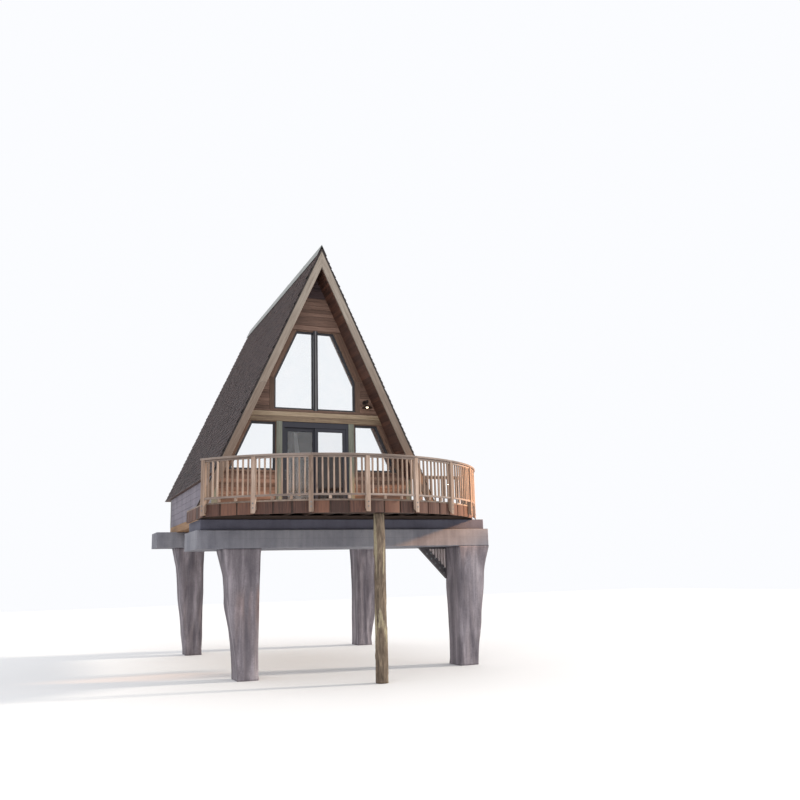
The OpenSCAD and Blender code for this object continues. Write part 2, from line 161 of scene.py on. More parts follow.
def timber(name, pale, mid, dark, grain="Z", fibre_mm=6.0, tint=0.16, knots=0.5, rough=(0.62, 0.86), bump=0.35,
           each_board=True, foot=None):
    """Sawn or planed boards: streaks along the grain, a tone for each board, knots, and worn corners.
    foot is the heights between which a painted shade, darkest low down, fades out."""
    made, add, place = finish(name)
    point, island = place, add("NewGeometry").outputs["Random Per Island"] if each_board else 0.5
    if grain == "ARC":
        # unrolls the deck's curve: across, along the arc, up
        centred = add("VectorMath", (point, at(0, DECK_BACK, 0)), operation="SUBTRACT")
        x, y, z = add("SeparateXYZ", (centred,)).outputs
        run = add("MULTIPLY", (add("ARCTAN2", (x, y)), RAIL_R))
        flat = add("VectorMath", (centred, (1, 1, 0)), operation="MULTIPLY")
        point = add("CombineXYZ", (add("VectorMath", (flat,), operation="LENGTH"), z, run))
    if grain == "SLOPE":
        # folds the two slopes together, then turns the slope upright
        folded = add("VectorMath", (add("VectorMath", (point, at(0, 0, 0)), operation="SUBTRACT"),),
                     operation="ABSOLUTE")
        point = add("Mapping", {"Vector": folded, "Rotation": (0, math.pi / 2 - SLOPE, 0)})
    stretch = {"X": (0.06, 1, 1), "Y": (1, 0.06, 1)}.get(grain, (1, 1, 0.06))
    moved = add("VectorMath", (point, add("MULTIPLY", (island, 37.0))), operation="ADD")
    along = add("Mapping", {"Vector": moved, "Scale": stretch})
    # growth rings 20 to 40 mm apart on the face of a board
    rings = add("TexNoise", {"Vector": along, "Scale": 26.0, "Detail": 3.0, "Distortion": 0.6})
    # fibres a few millimetres wide, drawn that coarse so that they show
    fibres = add("TexNoise", {"Vector": along, "Scale": 1000.0 / fibre_mm, "Detail": 4.0, "Roughness": 0.65})
    weather = add("TexNoise", {"Vector": moved, "Scale": 1.3, "Detail": 5.0, "Roughness": 0.6})
    tone = add("Mix", {"Factor": 0.38, "A": rings, "B": fibres}, data_type="FLOAT")
    board_tone = add("MapRange", {"Value": island, "To Min": -tint, "To Max": tint})
    colour = add("ValToRGB", (add("ADD", (tone, board_tone)),),
                 ((0.3, dark), (0.5, mid), (0.7, pale)))
    # knots: one about every 0.6 m of board
    sparse = add("Mapping", {"Vector": moved, "Scale": tuple(0.35 if s < 1 else 1.0 for s in stretch)})
    pits = add("TexVoronoi", {"Vector": sparse, "Scale": 3.2, "Randomness": 1.0})
    knot = add("MapRange", {"Value": pits, "From Min": 0.05, "From Max": 0.11, "To Min": knots, "To Max": 0.0})
    colour = add("Mix", {"Factor": knot, "A": colour, "B": linear(dark)}, data_type="RGBA", blend_type="MULTIPLY")
    aged = add("MapRange", {"Value": weather, "From Min": 0.35, "From Max": 0.7, "To Max": 0.42})
    colour = add("Mix", {"Factor": aged, "A": colour, "B": linear(mid)}, data_type="RGBA")
    # painted shade: below the foot heights the wood is mixed towards a darker colour
    if foot:
        low = add("MapRange", {"Value": add("SeparateXYZ", (place,)).outputs["Z"], "From Min": foot[0],
                               "From Max": foot[1], "To Min": 0.8, "To Max": 0.0})
        colour = add("Mix", {"Factor": low, "A": colour, "B": linear(foot[2])}, data_type="RGBA")
    # corners rubbed pale by hands and weather
    corner = add("Attribute", attribute_name="corner").outputs["Fac"]
    rubbed = add("MULTIPLY", (corner, fibres))
    colour = add("Mix", {"Factor": rubbed, "A": colour, "B": linear(pale)}, data_type="RGBA")
    return dress(made, colour, fibres, rough, add("ADD", (fibres, rings)), bump, 0.004)


def masonry(name, pale, mid, dark, streaks=0.5, grit_mm=9.0, bump=0.4, boards_m=0.0, rough=(0.72, 0.95), spread=0.16):
    """Cast concrete: cloudy tone, rain streaks, air holes and, where asked, the lines of its formwork."""
    made, add, point = finish(name)
    cloud = add("TexNoise", {"Vector": point, "Scale": 0.9, "Detail": 6.0, "Roughness": 0.62})
    grit = add("TexNoise", {"Vector": point, "Scale": 1000.0 / grit_mm / 3, "Detail": 6.0, "Roughness": 0.7})
    tall = add("Mapping", {"Vector": point, "Scale": (1, 1, 0.09)})
    rain = add("TexNoise", {"Vector": tall, "Scale": 4.5, "Detail": 5.0, "Roughness": 0.6, "Distortion": 0.3})
    tone = add("Mix", {"Factor": streaks, "A": cloud, "B": rain}, data_type="FLOAT")
    tone = add("Mix", {"Factor": 0.18, "A": tone, "B": grit}, data_type="FLOAT")
    colour = add("ValToRGB", (tone,), ((0.5 - spread, dark), (0.5, mid), (0.5 + spread, pale)))
    # air holes 5 to 15 mm across
    holes = add("TexVoronoi", {"Vector": point, "Scale": 17.0})
    hole = add("MapRange", {"Value": holes, "From Min": 0.07, "From Max": 0.13, "To Min": 0.6, "To Max": 0.0})
    colour = add("Mix", {"Factor": hole, "A": colour, "B": linear(dark)}, data_type="RGBA", blend_type="MULTIPLY")
    relief = add("SUBTRACT", (grit, hole))
    if boards_m:
        course = add("PINGPONG", (add("SeparateXYZ", (point,)).outputs["Z"], boards_m))
        joint = add("MapRange", {"Value": course, "From Max": 0.006, "To Min": 0.55, "To Max": 0.0})
        colour = add("Mix", {"Factor": joint, "A": colour, "B": linear(dark)}, data_type="RGBA")
        relief = add("SUBTRACT", (relief, joint))
    return dress(made, colour, grit, rough, relief, bump, 0.006)


def coated(name, base, worn_to, metallic=0.0, rough=(0.38, 0.55), grain_mm=2.5, bump=0.08, dust=0.25):
    """A coated or rolled metal: even colour, a fine skin, dust, and rubbed places."""
    made, add, point = finish(name)
    skin = add("TexNoise", {"Vector": point, "Scale": 1000.0 / grain_mm / 3, "Detail": 3.0})
    drift = add("TexNoise", {"Vector": point, "Scale": 2.2, "Detail": 6.0, "Roughness": 0.65})
    dusty = add("MapRange", {"Value": drift, "From Min": 0.4, "From Max": 0.72, "To Max": dust})
    colour = add("Mix", {"Factor": dusty, "A": linear(base), "B": linear(worn_to)}, data_type="RGBA")
    return dress(made, colour, drift, rough, skin, bump, 0.001, Metallic=metallic)


def voile_finish():
    """A woven sheer cloth, its threads drawn 4 mm apart so that they show."""
    made, add, point = finish("polyester_voile_woven")
    threads = [add("TexWave", {"Vector": point, "Scale": 78.0, "Distortion": 0.4}, bands_direction=way).outputs["Fac"]
               for way in "XZ"]
    weave = add("MULTIPLY", threads)
    colour = add("Mix", {"Factor": weave, "A": linear("CFCBC8"), "B": linear("F1EFEC")}, data_type="RGBA")
    return dress(made, colour, weave, (0.75, 0.9), weave, 0.2, 0.001, Sheen_Weight=0.4)


def shingle_finish():
    """Split shingles, dark purple-brown: every one its own tone, gritty, with a painted highlight making the
    downward-facing butt paler.
    """
    made, add, point = finish("shingle_split_dark_stain")
    grit = add("TexNoise", {"Vector": point, "Scale": 95.0, "Detail": 5.0, "Roughness": 0.7})
    patch = add("TexNoise", {"Vector": point, "Scale": 0.8, "Detail": 4.0})
    # split grain runs down the slope, ribs about 12 mm apart
    down = add("Mapping", {"Vector": point, "Scale": (0.08, 1, 0.08)})
    ribs = add("TexNoise", {"Vector": down, "Scale": 85.0, "Detail": 3.0})
    geometry = add("NewGeometry").outputs
    tone = add("Mix", {"Factor": 0.45, "A": geometry["Random Per Island"], "B": patch}, data_type="FLOAT")
    tone = add("Mix", {"Factor": 0.35, "A": tone, "B": ribs}, data_type="FLOAT")
    colour = add("ValToRGB", (tone,), ((0.2, "20181A"), (0.5, "32272A"), (0.82, "48393B")))
    # painted highlight: the faces that point down, the butts, are mixed towards a pale colour
    tilt = add("SeparateXYZ", (geometry["Normal"],)).outputs["Z"]
    butt = add("MapRange", {"Value": tilt, "From Min": -0.5, "From Max": -0.8, "To Max": 0.75})
    colour = add("Mix", {"Factor": butt, "A": colour, "B": linear("7C6B67")}, data_type="RGBA")
    return dress(made, colour, grit, (0.7, 0.95), add("ADD", (grit, ribs)), 0.5, 0.003)


def log_finish():
    """A peeled log with bark left in places: grey-brown skin, and bare wood that has greyed."""
    made, add, point = finish("log_half_peeled_bark")
    tall = add("Mapping", {"Vector": point, "Scale": (1, 1, 0.16)})
    bark = add("TexNoise", {"Vector": tall, "Scale": 15.0, "Detail": 7.0, "Roughness": 0.68, "Distortion": 0.9})
    patch = add("TexNoise", {"Vector": tall, "Scale": 3.4, "Detail": 5.0, "Roughness": 0.6, "Distortion": 0.7})
    fine = add("TexNoise", {"Vector": tall, "Scale": 95.0, "Detail": 5.0, "Roughness": 0.7})
    skin = add("ValToRGB", (bark,), ((0.3, "3E3329"), (0.5, "6B5C4D"), (0.7, "94836F")))
    bare = add("ValToRGB", (fine,), ((0.3, "85795F"), (0.7, "B4A98E")))
    peeled = add("MapRange", {"Value": patch, "From Min": 0.55, "From Max": 0.62})
    colour = add("Mix", {"Factor": peeled, "A": skin, "B": bare}, data_type="RGBA")
    return dress(made, colour, bark, (0.62, 0.95), add("ADD", (bark, fine)), 0.8, 0.012)


def glazing(name, tint, mirror, see_through, film_from=None):
    """Float glass with faint dirt. Where film_from is given, the mirror film starts at that height, with a worn edge,
    and brown-tinted glass shows the dim room below it."""
    made, add, point = finish(name)
    film = add("TexNoise", {"Vector": point, "Scale": 2.6, "Detail": 6.0, "Roughness": 0.6})
    ripple = add("TexNoise", {"Vector": point, "Scale": 1.1, "Detail": 1.0})
    colour = add("Mix", {"Factor": film, "A": linear(tint), "B": linear("FFFFFF")}, data_type="RGBA")
    if film_from is not None:
        ragged = add("MULTIPLY_ADD", (film, 0.12, add("SeparateXYZ", (point,)).outputs["Z"]))
        mirror = add("MapRange", {"Value": ragged, "From Min": film_from + 0.03, "From Max": film_from + 0.09,
                                  "To Max": mirror})
        colour = add("Mix", {"Factor": mirror, "A": linear("6B5E5A"), "B": colour}, data_type="RGBA")
    return dress(made, colour, film, (0.02, 0.10), ripple, 0.05, 0.01, Metallic=mirror, IOR=1.52,
                 Transmission_Weight=see_through)


def bulb_finish():
    """An opal bulb, lit."""
    made, add, point = finish("glass_opal_bulb_lit")
    cloud = add("TexNoise", {"Vector": point, "Scale": 60.0, "Detail": 2.0})
    colour = add("ValToRGB", (cloud,), ((0.3, "FFE2B0"), (0.7, "FFF3DC")))
    shade(made, Base_Color=colour, Emission_Color=colour, Emission_Strength=4.0, Roughness=0.3)
    return made


# Larch, sawn and left to weather: a pinkish tan that greys unevenly, with soft streaks
larch_upright = timber("larch_sawn_upright", "BDA798", "978070", "69574B", tint=0.14)
larch_curved = timber("larch_planed_curved", "A3948B", "7F6F66", "5A4C44", "ARC", tint=0.10, rough=(0.5, 0.75))
# Wide barge boards in a grey stain: flat, dull, with the grain drawn up the slope, and a painted shade darkening them
# towards the deck
barge_pine = timber("pine_barge_grey_stain", "A79E93", "8B8075", "665B51", "SLOPE", 9.0, 0.08, rough=(0.6, 0.8),
                    foot=(FLOOR + 1.0, FLOOR + 6.0, "6B5547"))
drip_pine = timber("pine_drip_strip_black_stain", "3F3835", "2E2927", "1F1B1A", "SLOPE", tint=0.05)
# Spruce cladding under a worn brown stain: warm, darker in the joints
clad_spruce = timber("spruce_cladding_brown_stain", "96796A", "775D50", "523F35", "X", 7.0)
# The boards in the peak are darkened with painted shade, for the shadow under the roof
peak_spruce_painted_shade = timber("spruce_peak_painted_shade", "5E4A4A", "4A3A3B", "33282A", "X", 7.0, 0.1)
clad_raked = timber("spruce_raked_brown_stain", "927565", "735949", "4E3B32", "SLOPE", 7.0, 0.12)
clad_upright = timber("spruce_upright_brown_stain", "8A7263", "6A5446", "48372E", "Z", 7.0, 0.12)
# Larch beams, planed and oiled: yellower and smoother than the rest
beam_larch = timber("larch_beam_oiled", "B6A28A", "9A866C", "6F5B49", "X", 8.0, 0.18, rough=(0.45, 0.7))
# Soffit boards in a red-brown stain, always in shade and so hardly faded
soffit_pine = timber("pine_soffit_red_stain", "6E4A3B", "54382D", "382520", "Y", 7.0, 0.14)
# Planed posts in a thin grey-green stain, with few knots
post_pine = timber("pine_post_green_grey", "989A8C", "7F8276", "5C5F56", "Z", 8.0, 0.06, 0.3)
# Grooved deck boards: walked grey, with deep fine lines
deck_larch = timber("larch_deck_grooved", "A08F82", "857468", "5F5249", "X", 5.0, 0.18, bump=0.6)
# Deck edge boards in a red stain that took unevenly, so each has its own red
edge_pine = timber("pine_deck_edge_red_stain", "75503F", "5A3D33", "38251F", "Z", 7.0, 0.22)
# Rough-sawn pine behind the skins and under the floors, treated and always in shade: nearly black-brown
dark_pine = timber("pine_rough_sawn_dark", "5A463C", "43342D", "2C221E", "X", 8.0, 0.1)
frame_pine = timber("pine_joist_dark", "5A463C", "43342D", "2C221E", "Y", 8.0, 0.1)
# The brace's planks, weathered to one dark grey, and the pale slats between them, their paleness partly painted
# highlight
brace_pine = timber("pine_brace_grey", "5F5A5C", "4C484B", "353236", "Z", 8.0, 0.1)
slat_larch_painted_highlight = timber("larch_slats_pale_painted_highlight", "D3C8C6", "BAAEAD", "8E8382", tint=0.1)
# Fibre-cement boards on the low walls: smooth, purple-grey, faint rain marks
low_wall_board = masonry("fibre_cement_low_wall", "8A838D", "77707B", "5E5864", 0.35, 4.0, 0.12, rough=(0.6, 0.8))
# Rough cast concrete of the piers, worked into bark-like ribs: grey-mauve, pale on the ribs
pier_concrete = masonry("concrete_cast_rough_rib", "A39BA1", "7A7379", "565158", 0.75, 12.0, 0.8, spread=0.13)
# Slab edge cast against boards: blue-grey with rain marks and level board lines
slab_concrete = masonry("concrete_board_marked", "94949A", "7E7E86", "64646E", 0.4, boards_m=0.16)
# Smooth render, painted: the flattest of the base; its dark blue-grey is partly painted shade from the deck above
plinth_render_painted_shade = masonry("render_smooth_painted_shade", "666675", "5A5A68", "494956", 0.3, 5.0, 0.15)
# Extruded aluminium under a powder coat: satin, faintly pebbled, chalky where it is worn
frame_coat = coated("aluminium_powder_anthracite", "36363C", "55555A")
door_coat = coated("aluminium_powder_blue_grey", "2B2B36", "4A4B56")
mullion_coat = coated("aluminium_powder_worn_grey", "6E6C6E", "8A888A", rough=(0.4, 0.6))
# Folded zinc and galvanised steel: dull grey metals with a patchy bloom
ridge_zinc = coated("zinc_folded_sheet", "8E918F", "B1B3AF", 0.75, (0.42, 0.62), 6.0, dust=0.6)
bolt_steel = coated("steel_galvanised", "83868A", "5F5A55", 0.9, (0.4, 0.62), 4.0, dust=0.5)
# Painted iron of the lamp, rubbed to rust-brown
lamp_iron = coated("iron_painted_brown_black", "2C2220", "4A342C", 0.3, (0.35, 0.6), dust=0.5)
# Moulded rubber and rolled felt: matt blacks that hold dust
gasket_rubber = coated("rubber_gasket_black", "17171A", "2B2B2E", rough=(0.7, 0.9), grain_mm=1.5)
underlay_felt = coated("felt_underlay_black", "2A2326", "3C3235", rough=(0.85, 0.95), grain_mm=3.0, bump=0.3)
# Polyester voile, woven fine: off-white, soft, with a sheen along its folds
curtain_voile = voile_finish()
roof_shingle, log_bark, bulb_glass = shingle_finish(), log_finish(), bulb_finish()
# Float glass: a sun coating mirrors the sky, and the clear leaf shows the dim room and its curtains
window_float = glazing("glass_float_sun_coated", "F6FAFC", 0.92, 0.6)
door_film = glazing("glass_float_part_filmed", "F6FAFC", 0.92, 0.9, film_from=FLOOR + 1.62)
door_float = glazing("glass_float_clear", "C9CCD0", 0.0, 0.92)


# ---- Making pieces ----
def hand_over(piece, materials, body="cabin", stands_for=()):
    """Gives a finished piece its materials and body, and hides the plain parts it stands for."""
    for material in materials:
        piece.data.materials.append(material)
    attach(piece, body)
    if stands_for:
        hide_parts(*stands_for)
    return piece


def shrink(outline, by):
    """A convex outline moved inwards by a distance."""
    moved, count = [], len(outline)
    for k in range(count):
        a, b, c = Vector(outline[k - 1]), Vector(outline[k]), Vector(outline[(k + 1) % count])
        d0, d1 = (b - a).normalized(), (c - b).normalized()
        n0, n1 = Vector((-d0.y, d0.x)), Vector((-d1.y, d1.x))
        lean = 1 + n0.dot(n1)
        moved.append(b + (n0 + n1) * (by / max(lean, 0.35)))
    return moved


def board(bm, outline, start, end, put, chamfer=0.004, skin=0):
    """A board: a convex outline carried from start to end, with its corners taken off."""
    area = sum(outline[k - 1][0] * outline[k][1] - outline[k][0] * outline[k - 1][1] for k in range(len(outline)))
    if area < 0:
        outline = outline[::-1]
    if abs(area) < 2e-5:
        return
    layer = bm.faces.layers.float.get("corner") or bm.faces.layers.float.new("corner")
    inner = shrink(outline, chamfer)
    sign = 1 if end > start else -1
    rings = []
    for points, w in ((inner, start), (outline, start + sign * chamfer), (outline, end - sign * chamfer),
                      (inner, end)):
        rings.append([bm.verts.new(put(p[0], p[1], w)) for p in points])
    count = len(outline)
    for step in range(3):
        for k in range(count):
            face = bm.faces.new((rings[step][k - 1], rings[step][k], rings[step + 1][k], rings[step + 1][k - 1]))
            face[layer] = 0.0 if step == 1 else 1.0
            face.material_index = skin
    for ring in (rings[0][::-1], rings[3]):
        bm.faces.new(ring).material_index = skin


def cut(outline, axis, low, high):
    """The part of a convex outline between two values along an axis."""
    for keep, limit in ((1, low), (-1, high)):
        kept = []
        for k in range(len(outline)):
            a, b = outline[k - 1], outline[k]
            da, db = keep * (a[axis] - limit), keep * (b[axis] - limit)
            if (da >= 0) != (db >= 0):
                t = da / (da - db)
                kept.append((a[0] + (b[0] - a[0]) * t, a[1] + (b[1] - a[1]) * t))
            if db >= 0:
                kept.append(b)
        outline = kept
        if len(outline) < 3:
            return []
    clean = [p for k, p in enumerate(outline)
             if math.hypot(p[0] - outline[k - 1][0], p[1] - outline[k - 1][1]) > 1e-4]
    return clean if len(clean) > 2 else []


def board_up(bm, outline, axis, width, start, end, put, joint=0.004, chamfer=0.004, lengths=None, seed=1, first=None,
             skin=0):
    """Covers a convex outline with boards of one width, with open joints and, where asked, butt joints."""
    rng = random.Random(seed)
    low, high = min(p[axis] for p in outline), max(p[axis] for p in outline)
    place = low if first is None else first
    while place < high - 0.012:
        bottom, top = max(place + joint / 2, low), min(place + width - joint / 2, high)
        place += width
        strip = cut(outline, axis, bottom, top) if top - bottom > 0.010 else []
        if not strip:
            continue
        other = 1 - axis
        a, b = min(p[other] for p in strip), max(p[other] for p in strip)
        if not lengths or b - a < lengths[0] * 1.4:
            board(bm, strip, start, end, put, chamfer, skin)
            continue
        at_length = a - rng.uniform(0.2, 0.8) * lengths[0]
        while at_length < b:
            step = rng.uniform(*lengths)
            piece = cut(strip, other, max(at_length + 0.0015, a), min(at_length + step - 0.0015, b))
            if piece:
                board(bm, piece, start, end, put, chamfer, skin)
            at_length += step


def piece_of(name, fill, materials, body="cabin", stands_for=(), smooth=False):
    """One mesh piece, filled by a function and handed over."""
    bm = bmesh.new()
    fill(bm)
    bmesh.ops.recalc_face_normals(bm, faces=bm.faces)
    mesh = bpy.data.meshes.new(name)
    bm.to_mesh(mesh)
    bm.free()
    mesh.shade_smooth() if smooth else mesh.shade_flat()
    piece = bpy.data.objects.new(name, mesh)
    scene.collection.objects.link(piece)
    return hand_over(piece, materials, body, stands_for)


def facing(u, v, w):
    """Across, up and in from the barge face."""
    return at(u, w, v)


def block(bm, low, high, chamfer=0.004, skin=0):
    """A square-cut block between two corners."""
    board(bm, [(low[0], low[2]), (high[0], low[2]), (high[0], high[2]), (low[0], high[2])], low[1], high[1], facing,
          chamfer, skin)


def sheet_tree(name, inputs):
    """A geometry tree with named inputs; gives the tree, what adds a node to it, and its input sockets."""
    tree = bpy.data.node_groups.new(name, "GeometryNodeTree")
    tree.interface.new_socket("Geometry", in_out="OUTPUT", socket_type="NodeSocketGeometry")
    for label, kind, value in inputs:
        made = tree.interface.new_socket(label, in_out="INPUT", socket_type="NodeSocket" + kind)
        if value is not None:
            made.default_value = value
    return tree, partial(node, tree), tree.nodes.new("NodeGroupInput").outputs


def grow(name, tree, values, place=None):
    """Runs a geometry tree once and keeps the result as a plain mesh, with its place in the mesh."""
    piece = bpy.data.objects.new(name, bpy.data.meshes.new(name))
    scene.collection.objects.link(piece)
    made = piece.modifiers.new("grow", "NODES")
    made.node_group = tree
    for item in tree.interface.items_tree:
        if item.in_out == "INPUT" and item.name in values:
            made[item.identifier] = values[item.name]
    graph = bpy.context.evaluated_depsgraph_get()
    mesh = bpy.data.meshes.new_from_object(piece.evaluated_get(graph), depsgraph=graph)
    piece.modifiers.clear()
    piece.data = mesh
    mesh.name = name
    if place is not None:
        mesh.transform(place)
    return piece


def round_deck(r, z, a):
    """A point at a radius and height on the deck's circle; the angle runs to the right from the front."""
    return at(r * math.sin(a), DECK_BACK - r * math.cos(a), z)


def bent(bm, r0, r1, z0, z1, a0, a1, chamfer=0.005, steps=10, skin=0):
    """A rail bent to the deck's circle, with its corners taken off."""
    layer = bm.faces.layers.float.get("corner") or bm.faces.layers.float.new("corner")
    c = chamfer
    outline = [(r0 + c, z0), (r1 - c, z0), (r1, z0 + c), (r1, z1 - c), (r1 - c, z1), (r0 + c, z1), (r0, z1 - c),
               (r0, z0 + c)]
    rings = [[bm.verts.new(round_deck(r, z, a0 + (a1 - a0) * k / steps)) for r, z in outline]
             for k in range(steps + 1)]
    for k in range(steps):
        for m in range(8):
            face = bm.faces.new((rings[k][m - 1], rings[k][m], rings[k + 1][m], rings[k + 1][m - 1]))
            face[layer] = 1.0 if m % 2 == 0 else 0.0
            face.material_index = skin
    for ring in (rings[0][::-1], rings[-1]):
        bm.faces.new(ring).material_index = skin


# ---- Roof ----
def shingle_tree():
    """Courses of split shingles laid to half bond over one slope, each a wedge with a little play of its own."""
    tree, add, given = sheet_tree("shingle_courses", [
        ("Run", "Float", 9.6), ("Rise", "Float", 7.42), ("Exposure", "Float", 0.15), ("Width", "Float", 0.3),
        ("Butt", "Float", 0.028), ("Bed", "Float", 0.006), ("Joint", "Float", 0.006), ("Seed", "Int", 4),
        ("Finish", "Material", None)])
    run, rise, exposure, width = (given[label] for label in ("Run", "Rise", "Exposure", "Width"))
    columns = add("ADD", (add("CEIL", (add("DIVIDE", (run, width)),)), 1.0))
    rows = add("CEIL", (add("DIVIDE", (rise, exposure)),))
    length = add("MULTIPLY", (add("SUBTRACT", (columns, 1.0)), width))
    height = add("MULTIPLY", (add("SUBTRACT", (rows, 1.0)), exposure))
    grid = add("GeometryNodeMeshGrid", {"Size X": length, "Size Y": height, "Vertices X": columns,
                                        "Vertices Y": rows})
    corner = add("CombineXYZ", (add("MULTIPLY", (length, 0.5)), add("MULTIPLY", (height, 0.5))))
    laid = add("GeometryNodeSetPosition", {"Geometry": grid, "Offset": corner})
    y = add("SeparateXYZ", (add("GeometryNodeInputPosition"),)).outputs["Y"]
    course = add("ROUND", (add("DIVIDE", (y, exposure)),))
    bond = add("MULTIPLY", (add("MODULO", (course, 2.0)), add("MULTIPLY", (width, -0.5))))
    play = add("FunctionNodeRandomValue", {"Min": (-0.012, -0.004, 0), "Max": (0.012, 0.004, 0),
                                           "Seed": given["Seed"]}, data_type="FLOAT_VECTOR")
    slid = add("VectorMath", (add("CombineXYZ", (bond,)), play), operation="ADD")
    bonded = add("GeometryNodeSetPosition", {"Geometry": laid, "Offset": slid})
    # the wedge: thick at the butt, thin at the head
    lapped = add("ADD", (exposure, 0.012))
    size = add("CombineXYZ", (add("SUBTRACT", (width, given["Joint"])), lapped, 1.0))
    cube = add("GeometryNodeMeshCube", {"Size": size, "Vertices X": 3, "Vertices Y": 2, "Vertices Z": 2})
    centre = add("CombineXYZ", (add("MULTIPLY", (width, 0.5)), add("MULTIPLY", (lapped, 0.5)), 0.5))
    moved = add("GeometryNodeTransform", {"Geometry": cube, "Translation": centre})
    x, y, z = add("SeparateXYZ", (add("GeometryNodeInputPosition"),)).outputs
    thin = add("SUBTRACT", (1.0, add("MULTIPLY", (0.72, add("DIVIDE", (y, exposure))))))
    lift = add("ADD", (add("MULTIPLY", (add("MULTIPLY", (z, thin)), given["Butt"])), given["Bed"]))
    wedge = add("GeometryNodeSetPosition", {"Geometry": moved, "Position": add("CombineXYZ", (x, y, lift))})
    turn, size = (add("FunctionNodeRandomValue", {"Min": least, "Max": most, "Seed": add("ADD", (given["Seed"], more))},
                      data_type="FLOAT_VECTOR")
                  for least, most, more in (((0, 0, -0.012), (0, 0, 0.012), 1.0),
                                            ((0.97, 0.96, 0.72), (1.0, 1.0, 1.1), 2.0)))
    placed = add("GeometryNodeInstanceOnPoints", {"Points": bonded, "Instance": wedge, "Rotation": turn,
                                                  "Scale": size})
    real = add("GeometryNodeRealizeInstances", {"Geometry": placed})
    # shingles that pass a verge or the ridge are cut off there
    x, y, z = add("SeparateXYZ", (add("GeometryNodeInputPosition"),)).outputs
    x, y = (add("MAXIMUM", (0.0, add("MINIMUM", (place, limit)))) for place, limit in ((x, run), (y, rise)))
    trimmed = add("GeometryNodeSetPosition", {"Geometry": real, "Position": add("CombineXYZ", (x, y, z))})
    add("NodeGroupOutput", (add("GeometryNodeSetMaterial", {"Geometry": trimmed, "Material": given["Finish"]}),))
    return tree


def slope_frame(side):
    """Run along the roof, rise up the slope, out from it: the place of one slope. side is 1 right, -1 left."""
    rise = Vector((-side * math.cos(SLOPE), 0, math.sin(SLOPE)))
    out = Vector((side * math.sin(SLOPE), 0, math.cos(SLOPE)))
    run = rise.cross(out)
    foot = at(side * xo(EAVE), 0.0 if run.y > 0 else ROOF_LEN, EAVE)
    return Matrix.Translation(foot) @ Matrix((run, rise, out)).transposed().to_4x4()


RISE = (APEX - EAVE) / math.sin(SLOPE)
shingles = shingle_tree()
for side, word in ((-1, "left"), (1, "right")):
    courses = grow("roof_shingles_" + word, shingles, {"Run": ROOF_LEN, "Rise": RISE - 0.02, "Seed": 11 + side,
                                                       "Finish": roof_shingle}, slope_frame(side))
    hand_over(courses, () if courses.data.materials else (roof_shingle,), stands_for=("roof_covers",))


def fill_underlay(bm):
    """The felt under the shingles."""
    for side in (-1, 1):
        place = slope_frame(side)

        def put(u, v, w):
            return place @ Vector((u, v, w))
        board(bm, [(0.004, 0), (ROOF_LEN - 0.004, 0), (ROOF_LEN - 0.004, RISE - 0.02), (0.004, RISE - 0.02)],
              0.0005, 0.007, put, 0.001)


piece_of("roof_underlay", fill_underlay, [underlay_felt])


def fill_ridge(bm):
    """Folded zinc lengths over the ridge, each lapped over the next with a raised joint."""
    top = APEX + COVER_T / math.cos(SLOPE) + 0.0003
    leg, count = 0.15, 5
    for k in range(count):
        y0, y1 = ROOF_LEN * k / count, ROOF_LEN * (k + 1) / count
        for low, high, y_a, y_b in ((0.0, 0.020, y0, y1), (0.020, 0.0285, max(y1 - 0.035, 0), y1 + 0.035)):
            if low and k == count - 1:
                continue
            for side in (-1, 1):
                drop = leg * math.tan(SLOPE)
                board(bm, [(0, top + low), (side * leg, top + low - drop), (side * leg, top + high - drop),
                           (0, top + high)], y_a, y_b, facing, 0.0015)


piece_of("ridge_zinc_lengths", fill_ridge, [ridge_zinc], stands_for=("ridge_cap",))


def fill_barges(bm, y0, y1, foot):
    """Barge boards in two lengths with a butt joint between, and a dark drip strip along the outer edge."""
    strip, rise = 0.040, 0.040 * math.tan(SLOPE)
    for side in (-1, 1):
        leg = [(side * 0.0005, APEX - rise), (side * (xo(foot) - strip), foot), (side * xi(foot), foot),
               (side * 0.0005, IN_APEX)]
        middle = foot + (APEX - foot) * (0.46 if side < 0 else 0.54)
        for low, high in ((foot, middle - 0.0015), (middle + 0.0015, APEX)):
            board(bm, cut(leg, 1, low, high), y0, y1, facing, 0.006)
        board(bm, [(side * 0.0005, APEX - 0.002), (side * xo(foot), foot), (side * (xo(foot) - strip + 0.002), foot),
                   (side * 0.0005, APEX - rise + 0.003)], y0 + 0.001, y1 - 0.001, facing, 0.003, skin=1)


piece_of("front_barge_boards", lambda bm: fill_barges(bm, 0.0, BARGE_T, 0.0), [barge_pine, drip_pine],
         stands_for=("front_barges",))
piece_of("rear_barge_boards", lambda bm: fill_barges(bm, ROOF_LEN - BARGE_T, ROOF_LEN, EAVE),
         [barge_pine, drip_pine], stands_for=("rear_barges",))


def fill_soffits(bm):
    """Narrow boards along the underside of both overhangs, running in from the barge."""
    wide = 0.095
    for y0, y1 in ((BARGE_T + 0.002, RECESS), (REAR, ROOF_LEN - BARGE_T - 0.002)):
        for side in (-1, 1):
            foot = EAVE + 0.01
            slope_len = (IN_APEX - foot) / math.sin(SLOPE)
            rise = Vector((-side * math.cos(SLOPE), 0, math.sin(SLOPE)))
            inwards = Vector((-side * math.sin(SLOPE), 0, -math.cos(SLOPE)))
            start = Vector((side * xi(foot), 0, foot))

            def put(u, v, w):
                p = start + rise * u + inwards * w
                return at(p.x, v, p.z)
            board_up(bm, [(0, y0), (slope_len - 0.035, y0), (slope_len - 0.035, y1), (0, y1)], 0, wide, 0.0005, 0.014,
                     put, joint=0.005, chamfer=0.003)


piece_of("soffit_boards", fill_soffits, [soffit_pine])


